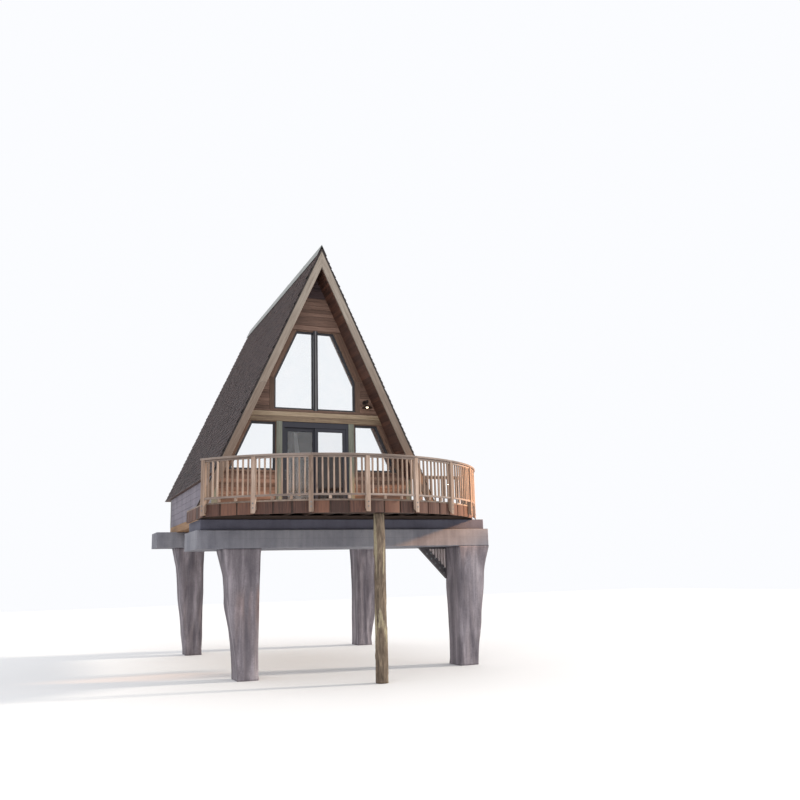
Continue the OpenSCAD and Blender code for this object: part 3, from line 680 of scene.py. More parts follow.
# ---- Gables ----
def clad(bm, outline, face, back, width, hole=None, axis=1, thick=0.022, lengths=(1.8, 3.6), seed=1, joint=0.006,
         first=None):
    """Boards over a wall, cut round a hole, with the dark wall behind them."""
    way = 1 if back > face else -1
    low = min(p[1] for p in outline) if first is None else first
    parts = [outline]
    if hole:
        (x0, x1), (z0, z1) = hole
        middle = cut(outline, 0, x0, x1)
        parts = [cut(outline, 0, -9, x0), cut(outline, 0, x1, 9), cut(middle, 1, -9, z0), cut(middle, 1, z1, 99)]
    for part in parts:
        if part:
            board_up(bm, part, axis, width, face, face + way * thick, facing, joint=joint, lengths=lengths, seed=seed,
                     first=low if axis == 1 else None)
            board(bm, part, face + way * (thick - 0.006), back, facing, 0.001, skin=1)


def triangle(z0):
    return [(-xi(z0), z0), (xi(z0), z0), (0, IN_APEX)]


def trapezium(z0, z1):
    return [(-xi(z0), z0), (xi(z0), z0), (xi(z1), z1), (-xi(z1), z1)]


COURSE = 0.115
PEAK = HEAD_TOP + COURSE * 6


def fill_apex(bm):
    """Level boards over the window, up to the peak, whose boards are painted dark as shade."""
    clad(bm, trapezium(HEAD_TOP, PEAK), RECESS, INSIDE, COURSE, seed=3)


piece_of("front_apex_boards", fill_apex, [clad_spruce, dark_pine], stands_for=("front_apex",))
piece_of("front_peak_boards", lambda bm: clad(bm, triangle(PEAK), RECESS, INSIDE, COURSE, seed=4),
         [peak_spruce_painted_shade, dark_pine])


def fill_head(bm):
    """Two head boards over the upper window, the upper one a little proud, with a drip strip under them."""
    y = RECESS - PROUD
    board(bm, trapezium(HEAD + 0.160, HEAD_TOP), y, INSIDE, facing, 0.005)
    board(bm, trapezium(HEAD + 0.012, HEAD + 0.154), y + 0.012, INSIDE, facing, 0.005)
    board(bm, trapezium(HEAD, HEAD + 0.010), y + 0.004, INSIDE, facing, 0.002)


piece_of("front_head_boards", fill_head, [clad_spruce], stands_for=("front_head",))


def fill_mid_beam(bm):
    """The loft beam: a sill board on top, then two deep boards with a shadow line between."""
    y = RECESS - PROUD
    board(bm, trapezium(BEAM - 0.048, BEAM), y, INSIDE, facing, 0.004, skin=1)
    board(bm, trapezium(LOFT + 0.150, BEAM - 0.053), y + 0.008, INSIDE, facing, 0.006)
    board(bm, trapezium(LOFT, LOFT + 0.144), y + 0.002, INSIDE, facing, 0.006)


piece_of("front_loft_beam_boards", fill_mid_beam, [beam_larch, clad_spruce],
         stands_for=("front_mid_beam",))

UPPER_HALF, RAKE_IN = 1.27, 0.225
KNEE = APEX * (1 - (UPPER_HALF + RAKE_IN + TX) / HALF)


def fill_upper_walls(bm):
    """Level boards beside the upper window, with a raked trim under the roof and an upright one at the jamb."""
    for side in (-1, 1):
        def turned(outline):
            return [(side * x, z) for x, z in outline]
        whole = [(xi(BEAM), BEAM), (UPPER_HALF, BEAM), (UPPER_HALF, KNEE), (xi(KNEE), KNEE)]
        raked = [(xi(KNEE), KNEE), (UPPER_HALF, KNEE), (xi(HEAD) - RAKE_IN, HEAD), (xi(HEAD), HEAD)]
        edge = 0.115
        # jamb trim, then raked trim along the window's sloping side
        board(bm, turned([(UPPER_HALF, BEAM), (UPPER_HALF + edge, BEAM), (UPPER_HALF + edge, KNEE - 0.004),
                          (UPPER_HALF, KNEE - 0.004)]), RECESS - 0.006, INSIDE, facing, 0.004, skin=2)
        board(bm, turned([(xi(KNEE) - RAKE_IN, KNEE), (xi(KNEE) - RAKE_IN + edge, KNEE),
                          (xi(HEAD) - RAKE_IN + edge, HEAD), (xi(HEAD) - RAKE_IN, HEAD)]),
              RECESS - 0.006, INSIDE, facing, 0.004, skin=1)
        board_up(bm, turned([(UPPER_HALF + edge + 0.003, BEAM), (xi(BEAM), BEAM), (xi(KNEE), KNEE),
                             (UPPER_HALF + edge + 0.003, KNEE)]), 1, COURSE, RECESS, RECESS + 0.022, facing,
                 joint=0.006, first=BEAM)
        board(bm, turned([(xi(KNEE) - RAKE_IN + edge + 0.003, KNEE), (xi(KNEE), KNEE), (xi(HEAD), HEAD),
                          (xi(HEAD) - RAKE_IN + edge + 0.003, HEAD)]), RECESS, RECESS + 0.022, facing, 0.004, skin=1)
        for part in (cut(whole, 0, UPPER_HALF + edge, 9), cut(raked, 1, KNEE, HEAD)):
            board(bm, turned(part), RECESS + 0.018, INSIDE, facing, 0.001, skin=3)


piece_of("front_upper_wall_boards", fill_upper_walls, [clad_spruce, clad_raked, clad_upright, dark_pine],
         stands_for=("front_upper_walls",))

POST_IN, POST_OUT, SILL, RAKE_LOW = 1.01, 1.18, 1.15, 0.165


def fill_rakers(bm):
    """Raked boards between the side windows and the roof."""
    for side in (-1, 1):
        leg = [(side * xi(SILL), SILL), (side * (xi(SILL) - RAKE_LOW), SILL), (side * (xi(LOFT) - RAKE_LOW), LOFT),
               (side * xi(LOFT), LOFT)]
        half = [((a[0] + b[0]) / 2, a[1]) for a, b in ((leg[0], leg[1]), (leg[3], leg[2]))]
        gap = 0.002 * side
        board(bm, [leg[0], (half[0][0] + gap, SILL), (half[1][0] + gap, LOFT), leg[3]], RECESS, INSIDE,
              facing, 0.004)
        board(bm, [(half[0][0] - gap, SILL), leg[1], leg[2], (half[1][0] - gap, LOFT)], RECESS - 0.008,
              INSIDE, facing, 0.004)


piece_of("front_raker_boards", fill_rakers, [clad_raked], stands_for=("front_rakers",))


def fill_front_posts(bm):
    """Square posts either side of the door, each with a rounded cover strip down its middle."""
    for side in (-1, 1):
        block(bm, (min(side * POST_IN, side * POST_OUT), RECESS - PROUD + 0.012, 0),
              (max(side * POST_IN, side * POST_OUT), INSIDE, LOFT), 0.008)
        middle, y = side * (POST_IN + POST_OUT) / 2, RECESS - PROUD
        block(bm, (middle - 0.032, y, 0.004), (middle + 0.032, y + 0.020, LOFT - 0.004), 0.007)


piece_of("front_posts_dressed", fill_front_posts, [post_pine], stands_for=("front_posts",))


def fill_sills(bm):
    """Level boards under the side windows, and the sill board that sheds water over them."""
    for side in (-1, 1):
        low = [(side * POST_OUT, 0), (side * SIDE_X, 0), (side * SIDE_X, EAVE), (side * xi(SILL - 0.04), SILL - 0.04),
               (side * POST_OUT, SILL - 0.04)]
        clad(bm, low, RECESS, INSIDE, COURSE, seed=8 + side)
        board(bm, [(side * POST_OUT, SILL - 0.038), (side * xi(SILL - 0.038), SILL - 0.038), (side * xi(SILL), SILL),
                   (side * POST_OUT, SILL)], RECESS - 0.028, INSIDE, facing, 0.005)


piece_of("sill_panel_boards", fill_sills, [clad_spruce, dark_pine], stands_for=("sill_panels",))

REAR_LOW, REAR_HIGH = ((-0.8, 0.8), (1.0, 2.2)), ((-0.62, 0.62), (BEAM + 0.45, BEAM + 1.55))


def fill_rear(bm):
    """The rear gable's boards, cut round a window on each storey, with flat trims round both."""
    low = [(-SIDE_X, 0), (SIDE_X, 0), (SIDE_X, EAVE), (xi(LOFT), LOFT), (-xi(LOFT), LOFT), (-SIDE_X, EAVE)]
    clad(bm, low, REAR, REAR - WALL_T, 0.145, REAR_LOW, seed=21, first=0)
    clad(bm, [(-xi(BEAM), BEAM), (xi(BEAM), BEAM), (0, IN_APEX)], REAR, REAR - WALL_T, 0.145, REAR_HIGH, seed=22)
    for (x0, x1), (z0, z1) in (REAR_LOW, REAR_HIGH):
        t = 0.09
        for a, b in (((x0 - t, z0 - t), (x1 + t, z0)), ((x0 - t, z1), (x1 + t, z1 + t)), ((x0 - t, z0), (x0, z1)),
                     ((x1, z0), (x1 + t, z1))):
            block(bm, (a[0], REAR - 0.01, a[1] + 0.001), (b[0], REAR + 0.020, b[1] - 0.001), 0.004, skin=0)


piece_of("rear_gable_boards", fill_rear, [clad_spruce, dark_pine],
         stands_for=("rear_wall", "rear_gable"))


def fill_rear_beam(bm):
    """The rear loft beam in two boards."""
    board(bm, trapezium(LOFT + 0.172, BEAM), REAR - WALL_T, REAR + PROUD - 0.008, facing, 0.006)
    board(bm, trapezium(LOFT, LOFT + 0.168), REAR - WALL_T, REAR + PROUD, facing, 0.006)


piece_of("rear_loft_beam_boards", fill_rear_beam, [beam_larch], stands_for=("rear_mid_beam",))


def fill_low_walls(bm):
    """Smooth boards on the low side walls, five courses lapped like weatherboard, and a corner post at each end."""
    for side in (-1, 1):
        def put(u, v, w):
            return at(side * w, u, v)
        board(bm, [(RECESS + 0.02, 0), (REAR - 0.02, 0), (REAR - 0.02, EAVE), (RECESS + 0.02, EAVE)], SIDE_X,
              SIDE_OUT - 0.02, put, 0.001, skin=1)
        board_up(bm, [(RECESS + 0.09, 0.0), (REAR - 0.09, 0.0), (REAR - 0.09, EAVE), (RECESS + 0.09, EAVE)], 1, 0.2,
                 SIDE_OUT - 0.022, SIDE_OUT, put, joint=0.005, chamfer=0.004, lengths=(3.0, 4.2), seed=31 + side)
        for y in (RECESS, REAR - 0.085):
            board(bm, [(y, 0), (y + 0.085, 0), (y + 0.085, EAVE), (y, EAVE)], SIDE_X + 0.002, SIDE_OUT + 0.006, put,
                  0.005, skin=2)


piece_of("low_side_wall_boards", fill_low_walls, [low_wall_board, dark_pine, post_pine],
         stands_for=("side_walls",))


# ---- Deck ----
def disc_strip(y0, y1, r, left, right=9.0):
    """The outline in plan of a strip of the deck between two depths, inside the deck's circle."""
    steps = [y0 + (y1 - y0) * k / 4 for k in range(5)]
    reach = [(math.sqrt(max(r * r - (DECK_BACK - y) ** 2, 0)), y) for y in steps]
    if reach[-1][0] < 0.05:
        return []
    return [(min(x, right), y) for x, y in reach] + [(max(-x, left), y) for x, y in reversed(reach)]


def fill_deck(bm):
    """Deck boards across the front, 140 mm wide with 6 mm gaps, inside a curved border board."""
    rng = random.Random(5)
    inner, y = EDGE_R - 0.150, RECESS - 0.002
    while y > DECK_BACK - inner + 0.02:
        y0 = max(y - 0.140, DECK_BACK - inner)
        strip = disc_strip(y0, y - 0.006, inner, DECK_LEFT + 0.006)
        y -= 0.140
        if not strip:
            continue
        low, high = min(p[0] for p in strip), max(p[0] for p in strip)
        joint = low + rng.uniform(0.25, 0.75) * (high - low)
        for a, b in ((low, joint - 0.0015), (joint + 0.0015, high)) if high - low > 4 else ((low, high),):
            part = cut(strip, 0, a, b)
            if part:
                board(bm, part, -0.038, -0.0005 - rng.uniform(0, 0.0015), at, 0.003)
    for k in range(-LEFT_BAYS, RIGHT_BAYS):
        bent(bm, EDGE_R - 0.146, EDGE_R, -0.038, 0.0, k * BAY + 0.0004, (k + 1) * BAY - 0.0004, 0.004)


piece_of("deck_boards", fill_deck, [deck_larch], stands_for=("deck_floor",))


def round_tree(name, extra):
    """The start of a tree that sets pieces round the deck's circle."""
    tree, add, given = sheet_tree(name, [
        ("Radius", "Float", 4.7), ("First", "Float", 0.0), ("Bay", "Float", 0.3), ("Bays", "Int", 8),
        ("Each Bay", "Int", 9), ("Foot", "Float", 0.0), ("Height", "Float", 1.0), ("Side", "Float", 0.04),
        ("Depth", "Float", 0.04), ("Centre", "Vector", (0, 0, 0)), ("Finish", "Material", None)] + extra)
    index, each = add("GeometryNodeInputIndex"), given["Each Bay"]
    bay = add("FLOOR", (add("DIVIDE", (add("ADD", (index, 0.001)), each)),))
    place = add("ADD", (add("SUBTRACT", (index, add("MULTIPLY", (bay, each)))), 1.0))
    share = add("DIVIDE", (place, add("ADD", (each, 1.0))))
    angle = add("ADD", (given["First"], add("MULTIPLY", (add("ADD", (bay, share)), given["Bay"]))))
    spot = add("CombineXYZ", (
        add("MULTIPLY", (add("SINE", (angle,)), given["Radius"])),
        add("MULTIPLY", (add("COSINE", (angle,)), add("MULTIPLY", (given["Radius"], -1.0)))), given["Foot"]))
    points = add("GeometryNodeMeshLine", {"Count": add("MULTIPLY", (given["Bays"], each)), "Offset": (0, 0, 0)})
    centred = add("VectorMath", (spot, given["Centre"]), operation="ADD")
    points = add("GeometryNodeSetPosition", {"Geometry": points, "Position": centred})
    return tree, add, given, points, add("CombineXYZ", {"Z": add("SUBTRACT", (angle, math.pi / 2))})


def close_tree(tree, add, given, points, turn, shape):
    """Sets a shape on every point and finishes the tree."""
    placed = add("GeometryNodeInstanceOnPoints", {"Points": points, "Instance": shape, "Rotation": turn})
    real = add("GeometryNodeRealizeInstances", {"Geometry": placed})
    add("NodeGroupOutput", (add("GeometryNodeSetMaterial", {"Geometry": real, "Material": given["Finish"]}),))
    return tree


def bar_tree():
    """Square bars with eased corners, standing round the deck."""
    tree, add, given, *start = round_tree("bars_round_the_deck", [("Ease", "Float", 0.004)])
    path = add("GeometryNodeCurvePrimitiveLine", {"End": add("CombineXYZ", {"Z": given["Height"]})})
    square = add("GeometryNodeCurvePrimitiveQuadrilateral", {"Width": given["Depth"], "Height": given["Side"]})
    eased = add("GeometryNodeFilletCurve", {"Curve": square, "Radius": given["Ease"]})
    shape = add("GeometryNodeCurveToMesh", {"Curve": path, "Profile Curve": eased, "Fill Caps": True})
    return close_tree(tree, add, given, *start, shape)


def bolt_tree():
    """Hexagon heads on round washers, pointing outwards round the deck."""
    tree, add, given, *start = round_tree("bolts_round_the_deck", [])
    joined = add("GeometryNodeJoinGeometry")
    for sides, wide, deep in ((6, 0.58, 1.0), (16, 1.0, 0.22)):
        disc = add("GeometryNodeMeshCylinder", {"Vertices": sides, "Radius": add("MULTIPLY", (given["Side"], wide)),
                                                "Depth": add("MULTIPLY", (given["Depth"], deep))})
        fill_in(tree, joined, (add("GeometryNodeTransform", {"Geometry": disc, "Rotation": (0, math.pi / 2, 0)}),))
    return close_tree(tree, add, given, *start, joined)


bars, bolts = bar_tree(), bolt_tree()
CENTRE = at(0, DECK_BACK, 0)
UNDER_DECK, EDGE_FOOT = -0.0385, -0.33
BAYS = LEFT_BAYS + RIGHT_BAYS
AROUND = {"First": -LEFT_BAYS * BAY, "Bay": BAY, "Bays": BAYS, "Centre": CENTRE}
TOP_RAIL = RAIL_H - CAP_T - 0.0005
LOW_RAIL, RAIL_D = 0.13, 0.048
balusters = grow("rail_balusters", bars, {**AROUND, "Radius": RAIL_R, "Each Bay": 9, "Side": 0.04, "Depth": 0.04,
                                          "Foot": LOW_RAIL - 0.004, "Height": TOP_RAIL - RAIL_D - LOW_RAIL + 0.008,
                                          "Finish": larch_upright})
hand_over(balusters, (), stands_for=("rail_panels",))
feet = grow("rail_feet_blocks", bars, {**AROUND, "Radius": RAIL_R, "Each Bay": 2, "Side": 0.07, "Depth": 0.05,
                                       "Foot": 0.001, "Height": LOW_RAIL - RAIL_D - 0.002, "Ease": 0.006,
                                       "Finish": larch_upright})
hand_over(feet, ())


def fill_rails(bm):
    """Top and bottom rails bent to each bay."""
    gap = math.asin(POST / 2 / RAIL_R) + 0.0006
    for k in range(-LEFT_BAYS, RIGHT_BAYS):
        for top in (LOW_RAIL, TOP_RAIL):
            bent(bm, RAIL_R - 0.03, RAIL_R + 0.03, top - RAIL_D, top, k * BAY + gap, (k + 1) * BAY - gap, 0.006)


piece_of("rail_lengths", fill_rails, [larch_curved])


def fill_return(bm):
    """The return panel: two rails and its balusters, straight."""
    x0, x1 = RETURN_X + POST / 2, RAIL_R * math.sin(RIGHT_BAYS * BAY) - POST / 2 - 0.012
    for top in (LOW_RAIL, TOP_RAIL):
        block(bm, (x0, RETURN_Y - 0.03, top - RAIL_D), (x1, RETURN_Y + 0.03, top), 0.006)
    count = int((x1 - x0) / 0.150)
    for k in range(1, count + 1):
        x = x0 + (x1 - x0) * k / (count + 1)
        block(bm, (x - 0.02, RETURN_Y - 0.02, LOW_RAIL - 0.004),
              (x + 0.02, RETURN_Y + 0.02, TOP_RAIL - RAIL_D + 0.004))


piece_of("rail_return_panel", fill_return, [larch_upright])


def fill_cap(bm):
    """The handrail, bent to each bay with tight joints over the posts, and the straight piece to the cabin."""
    over = math.atan((POST / 2 + 0.015) / RAIL_R)
    for k in range(-LEFT_BAYS, RIGHT_BAYS):
        a0 = k * BAY + 0.0004 - (over if k == -LEFT_BAYS else 0)
        a1 = (k + 1) * BAY - 0.0004 + (over if k == RIGHT_BAYS - 1 else 0)
        bent(bm, RAIL_R - CAP_W / 2, RAIL_R + CAP_W / 2, RAIL_H - CAP_T, RAIL_H, a0, a1, 0.010, 14)
    block(bm, (RETURN_X - CAP_W / 2, RETURN_Y - CAP_W / 2, RAIL_H - CAP_T),
          (RAIL_R * math.sin(RIGHT_BAYS * BAY) - CAP_W / 2 - 0.014, RETURN_Y + CAP_W / 2, RAIL_H), 0.010)


piece_of("handrail_lengths", fill_cap, [larch_curved], stands_for=("rail_cap",))


def fill_rail_posts(bm):
    """Posts bolted over the deck edge, their feet cut on a slant."""
    for k in range(-LEFT_BAYS, RIGHT_BAYS + 1):
        a = k * BAY

        def put(u, v, w):
            p = round_deck(u, v, a)
            return p + Vector((math.cos(a), math.sin(a), 0)) * w
        board(bm, [(EDGE_R, -0.22), (EDGE_R + POST, -0.315), (EDGE_R + POST, TOP_RAIL), (EDGE_R, TOP_RAIL)],
              -POST / 2, POST / 2, put, 0.008)
    block(bm, (RETURN_X - POST / 2, RETURN_Y - POST / 2, 0), (RETURN_X + POST / 2, RETURN_Y + POST / 2, TOP_RAIL),
          0.008)


piece_of("rail_posts_dressed", fill_rail_posts, [larch_upright], stands_for=("rail_posts",))
for height, word in ((-0.075, "upper"), (-0.185, "lower")):
    heads = grow("post_bolts_" + word, bolts, {
        "Radius": EDGE_R + POST + 0.002, "First": -(LEFT_BAYS + 0.5) * BAY, "Bay": BAY, "Bays": BAYS + 1,
        "Each Bay": 1, "Foot": height, "Side": 0.019, "Depth": 0.016, "Centre": CENTRE, "Finish": bolt_steel})
    hand_over(heads, ())


# ---- Deck edge ----
edge_boards = grow("deck_edge_boards", bars, {
    "Radius": EDGE_R - 0.0165, "First": -LEFT_BAYS * BAY, "Bay": BAY / 3, "Bays": BAYS * 3, "Each Bay": 1,
    "Side": EDGE_R * BAY / 3 - 0.040, "Depth": 0.022, "Foot": -0.328, "Height": 0.288, "Ease": 0.004,
    "Centre": CENTRE, "Finish": edge_pine})
hand_over(edge_boards, (), stands_for=("deck_fascia",))


def fill_edge_back(bm):
    """The dark board behind the edge boards, and the straight edges at the cabin's corners."""
    for k in range(-LEFT_BAYS, RIGHT_BAYS):
        bent(bm, EDGE_R - 0.038, EDGE_R - 0.026, EDGE_FOOT, UNDER_DECK, k * BAY + 0.0009, (k + 1) * BAY - 0.0009,
             0.002, 8, skin=1)
    corner_y = DECK_BACK - math.sqrt(EDGE_R ** 2 - DECK_LEFT ** 2) + 0.060

    def put(u, v, w):
        return at(w, u, v)
    side = [(corner_y, EDGE_FOOT), (RECESS, EDGE_FOOT), (RECESS, UNDER_DECK), (corner_y, UNDER_DECK)]
    board(bm, side, DECK_LEFT + 0.018, DECK_LEFT + 0.038, put, 0.001, skin=1)
    board_up(bm, side, 0, 0.46, DECK_LEFT, DECK_LEFT + 0.020, put, joint=0.040, first=corner_y - 0.02)
    x0, x1 = SIDE_OUT + 0.12, math.sqrt((EDGE_R - 0.038) ** 2 - (DECK_BACK - RECESS + 0.038) ** 2) - 0.003
    back = [(x0, EDGE_FOOT), (x1, EDGE_FOOT), (x1, UNDER_DECK), (x0, UNDER_DECK)]
    board(bm, back, RECESS - 0.038, RECESS - 0.020, facing, 0.001, skin=1)
    board_up(bm, back, 0, 0.44, RECESS - 0.020, RECESS, facing, joint=0.030)


piece_of("deck_edge_backing", fill_edge_back, [edge_pine, dark_pine])


def fill_joists(bm):
    """Joists under the deck, with hangers of folded steel where they meet the border."""
    x = DECK_LEFT + 0.08
    while x <= EDGE_R - 0.5 + 1e-6:
        reach = EDGE_R - 0.038 - 0.02
        y = DECK_BACK - math.sqrt(reach ** 2 - max(abs(x), abs(x + 0.06)) ** 2)
        block(bm, (x, y, -0.228), (x + 0.06, RECESS - 0.0383, UNDER_DECK), 0.004)
        block(bm, (x - 0.003, y + 0.03, -0.2315), (x + 0.063, y + 0.10, -0.110), 0.001, skin=1)
        x += 0.55


piece_of("deck_joists_hung", fill_joists, [frame_pine, bolt_steel], stands_for=("deck_joists",))

# ---- Base ----
log_low, log_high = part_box("log_post")


def fill_log(bm):
    """The log post: a slightly crooked taper, with bark ridges, knots and a flare at the foot."""
    cx, cy = (log_low.x + log_high.x) / 2, (log_low.y + log_high.y) / 2
    tall, foot = log_high.z - log_low.z, (log_high.x - log_low.x) / 2
    around, up = 56, 120
    rng = random.Random(7)
    knots = [(rng.uniform(0, math.tau), rng.uniform(0.4, tall - 0.4), rng.uniform(0.05, 0.08)) for _ in range(11)]
    rings = []
    for k in range(up + 1):
        z = tall * k / up
        ring = []
        for m in range(around):
            a = math.tau * m / around
            r = foot * (1 - 0.12 * z / tall) - 0.010
            ribs = noise.noise(Vector((math.cos(a) * 4.2, math.sin(a) * 4.2, z * 1.1)))
            fine = noise.noise(Vector((math.cos(a) * 11, math.sin(a) * 11, z * 4.5 + 9)))
            patch = noise.noise(Vector((math.cos(a) * 1.3, math.sin(a) * 1.3, z * 0.9 + 31)))
            r += 0.008 * ribs + 0.004 * fine - (0.009 if patch > 0.12 else 0.0)
            for ka, kz, size in knots:
                d = math.hypot((a - ka + math.pi) % math.tau - math.pi, (z - kz) / 0.30) / (size / foot)
                r += 0.014 * math.exp(-d * d * 1.6)
            fade = min(1.0, z / 0.08, (tall - z) / 0.05)
            r = min(r, foot) * (0.985 + 0.015 * fade)
            ring.append(bm.verts.new((cx + r * math.cos(a), cy + r * math.sin(a), log_low.z + z)))
        rings.append(ring)
    for k in range(up):
        for m in range(around):
            bm.faces.new((rings[k][m - 1], rings[k][m], rings[k + 1][m], rings[k + 1][m - 1]))
    bm.faces.new(rings[0][::-1])
    bm.faces.new(rings[-1])


piece_of("log_post_bark", fill_log, [log_bark], stands_for=("log_post",), smooth=True)

PIER_D, PIER_W, PIER_IN = 1.0, 0.98, 0.42
slab_low, slab_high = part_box("front_slab")
rear_low, rear_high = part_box("rear_slab")
SLAB_LEFT, SLAB_RIGHT = slab_low.x - AXIS, slab_high.x - AXIS
GROUND = -FLOOR
PIER_Y = slab_low.y - FACE + PIER_D / 2
PIER_R, PIER_L = SLAB_RIGHT - PIER_W, SLAB_LEFT + 0.68 + PIER_W
REAR_Y = (rear_low.y + rear_high.y) / 2 - FACE


def one_pier(bm, x0, s, yc, top, seed):
    """One pier: its outer side leans in to the foot, and its faces are ribbed up and down like bark."""
    tall = top - GROUND
    across, up = 15, 64

    def spot(side, t, z):
        k = 1 - z / tall
        wide, deep = PIER_W - PIER_IN * k, PIER_D / 2 - 0.12 * k
        x, y = [(t, -1), (1, 2 * t - 1), (1 - t, 1), (0, 1 - 2 * t)][side]
        return x0 + s * wide * x, yc + deep * y

    rings = []
    for k in range(up + 1):
        z = tall * k / up
        ring = []
        for side in range(4):
            for m in range(across):
                t = m / across
                x, y = spot(side, t, z)
                inward = Vector((x0 + s * 0.5 - x, yc - y))
                inward.normalize()
                p = Vector((x * 4.6, y * 4.6, z * 0.62 + seed))
                rib = abs(noise.noise(p)) * 1.5
                root = abs(noise.noise(Vector((x * 1.9, y * 1.9, z * 0.45 + seed * 3)))) * 1.4
                fine = noise.noise(Vector((x * 17, y * 17, z * 3.1 + seed)))
                deep = 0.060 * rib + 0.085 * root + 0.008 * fine
                corner = max(0.0, 1 - min(t, 1 - t) * across / 1.2) * 0.028
                hold = min(1.0, (tall - z) / 0.70) * min(1.0, 0.35 + z / 0.3)
                if side == 3:
                    deep *= 0.30
                deep = (max(deep, 0) + corner) * hold
                ring.append(bm.verts.new(at(x + inward.x * deep, y + inward.y * deep, GROUND + z)))
        rings.append(ring)
    total = len(rings[0])
    for k in range(up):
        for m in range(total):
            bm.faces.new((rings[k][m - 1], rings[k][m], rings[k + 1][m], rings[k + 1][m - 1]))
    bm.faces.new(rings[0][::-1])
    bm.faces.new(rings[-1])


def fill_piers(bm):
    """Four piers, a pair under each slab."""
    low, rear = slab_low.z - FLOOR, rear_low.z - FLOOR
    for n, (x0, s, yc, top) in enumerate(((PIER_R, 1, PIER_Y, low), (PIER_L, -1, PIER_Y, low),
                                          (PIER_R, 1, REAR_Y, rear), (PIER_L, -1, REAR_Y, rear))):
        one_pier(bm, x0, s, yc, top, 3.7 + 11.3 * n)


piece_of("piers_ribbed", fill_piers, [pier_concrete], stands_for=("piers",), smooth=True)


def slab_piece(name, node_name, material, chamfer):
    """A cast slab with its arrises knocked off."""
    low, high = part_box(node_name)

    def fill(bm):
        block(bm, (low.x - AXIS, low.y - FACE, low.z - FLOOR), (high.x - AXIS, high.y - FACE, high.z - FLOOR),
              chamfer)
    return piece_of(name, fill, [material], stands_for=(node_name,))


slab_piece("front_slab_cast", "front_slab", slab_concrete, 0.020)
slab_piece("rear_slab_cast", "rear_slab", slab_concrete, 0.020)
slab_piece("front_plinth_rendered", "front_plinth", plinth_render_painted_shade, 0.012)
slab_piece("log_bearer_dressed", "log_bearer", dark_pine, 0.008)


BRACE_RUN, BRACE_RISE, STRUT = 0.86, 0.90, 0.29
BRACE_Y = PIER_Y + PIER_D / 2 - 0.18
UNDER = slab_low.z - FLOOR


def strut_edge(x, over=0.0):
    """The height of the strut's lower edge, or a height over it, at a distance in front of the pier."""
    return UNDER - BRACE_RISE * (1 - x / BRACE_RUN) + over


def fill_brace(bm):
    """The knee brace: a deep raking strut in two planks, a top plate and a wall post, with pale slats between."""
    y0, y1 = BRACE_Y, BRACE_Y + 0.12
    block(bm, (PIER_R - BRACE_RUN + 0.07, y0 + 0.006, UNDER - 0.058), (PIER_R, y1 - 0.006, UNDER), 0.004)
    for low, high, proud in ((0.0, 0.140, 0.0), (0.146, STRUT, 0.010)):
        reach = BRACE_RUN * (1 - high / BRACE_RISE)
        board(bm, [(PIER_R, strut_edge(0, low)), (PIER_R, strut_edge(0, high)), (PIER_R - reach, UNDER),
                   (PIER_R - BRACE_RUN * (1 - low / BRACE_RISE), UNDER)], y0 + proud, y1 - proud, facing, 0.005)
    block(bm, (PIER_R - 0.058, y0 + 0.006, strut_edge(0, STRUT)), (PIER_R, y1 - 0.006, UNDER - 0.058), 0.004)
    # the slats, in a finish whose paleness is partly painted highlight
    for k in range(6):
        x = 0.040 + 0.090 * k
        foot, head = strut_edge(x, STRUT) - 0.02, UNDER - 0.050
        if head - foot > 0.05:
            block(bm, (PIER_R - x - 0.026, y0 + 0.004, foot), (PIER_R - x + 0.016, y1 - 0.004, head), 0.003, skin=1)


piece_of("knee_brace_slatted", fill_brace, [brace_pine, slat_larch_painted_highlight], stands_for=("knee_brace",))


def fill_brace_bolts(bm):
    """Pairs of coach bolts down the strut, each on a washer."""
    for k in range(5):
        x = 0.09 + 0.13 * k
        for over in (0.07, 0.215):
            if strut_edge(x, over) > UNDER - 0.05:
                continue
            for radius, depth, sides in ((0.026, 0.004, 14), (0.015, 0.012, 6)):
                ring = [(PIER_R - x + radius * math.cos(math.tau * m / sides),
                         strut_edge(x, over) + radius * math.sin(math.tau * m / sides)) for m in range(sides)]
                front = BRACE_Y + (0.010 if over > 0.1 else 0.0)
                board(bm, ring, front - 0.0005, front - 0.0005 - depth, facing, 0.001)


piece_of("knee_brace_bolts", fill_brace_bolts, [bolt_steel])

# ---- Windows and door ----
FRAME_Y, STILE = RECESS + 0.06, 0.065
UPPER_LITE = [(STILE, BEAM + STILE), (UPPER_HALF - STILE, BEAM + STILE),
              (UPPER_HALF - STILE, KNEE + (STILE - STILE / math.sin(SLOPE)) * math.tan(SLOPE)),
              (xi(HEAD - STILE) - RAKE_IN - STILE / math.sin(SLOPE), HEAD - STILE), (STILE, HEAD - STILE)]


def low_x(z):
    return xi(z) - RAKE_LOW


SIDE_LITE = [(POST_OUT + STILE, SILL + STILE), (low_x(SILL + STILE) - STILE / math.sin(SLOPE), SILL + STILE),
             (low_x(LOFT - STILE) - STILE / math.sin(SLOPE), LOFT - STILE), (POST_OUT + STILE, LOFT - STILE)]


def ring_of_beads(bm, outline, width, start, end, chamfer=0.003, skin=0, put=facing):
    """Mitred glazing beads inside an outline."""
    area = sum(outline[k - 1][0] * outline[k][1] - outline[k][0] * outline[k - 1][1] for k in range(len(outline)))
    outline = outline if area > 0 else outline[::-1]
    inner = shrink(outline, width)
    for k in range(len(outline)):
        board(bm, [tuple(outline[k - 1]), tuple(outline[k]), tuple(inner[k]), tuple(inner[k - 1])], start, end, put,
              chamfer, skin)


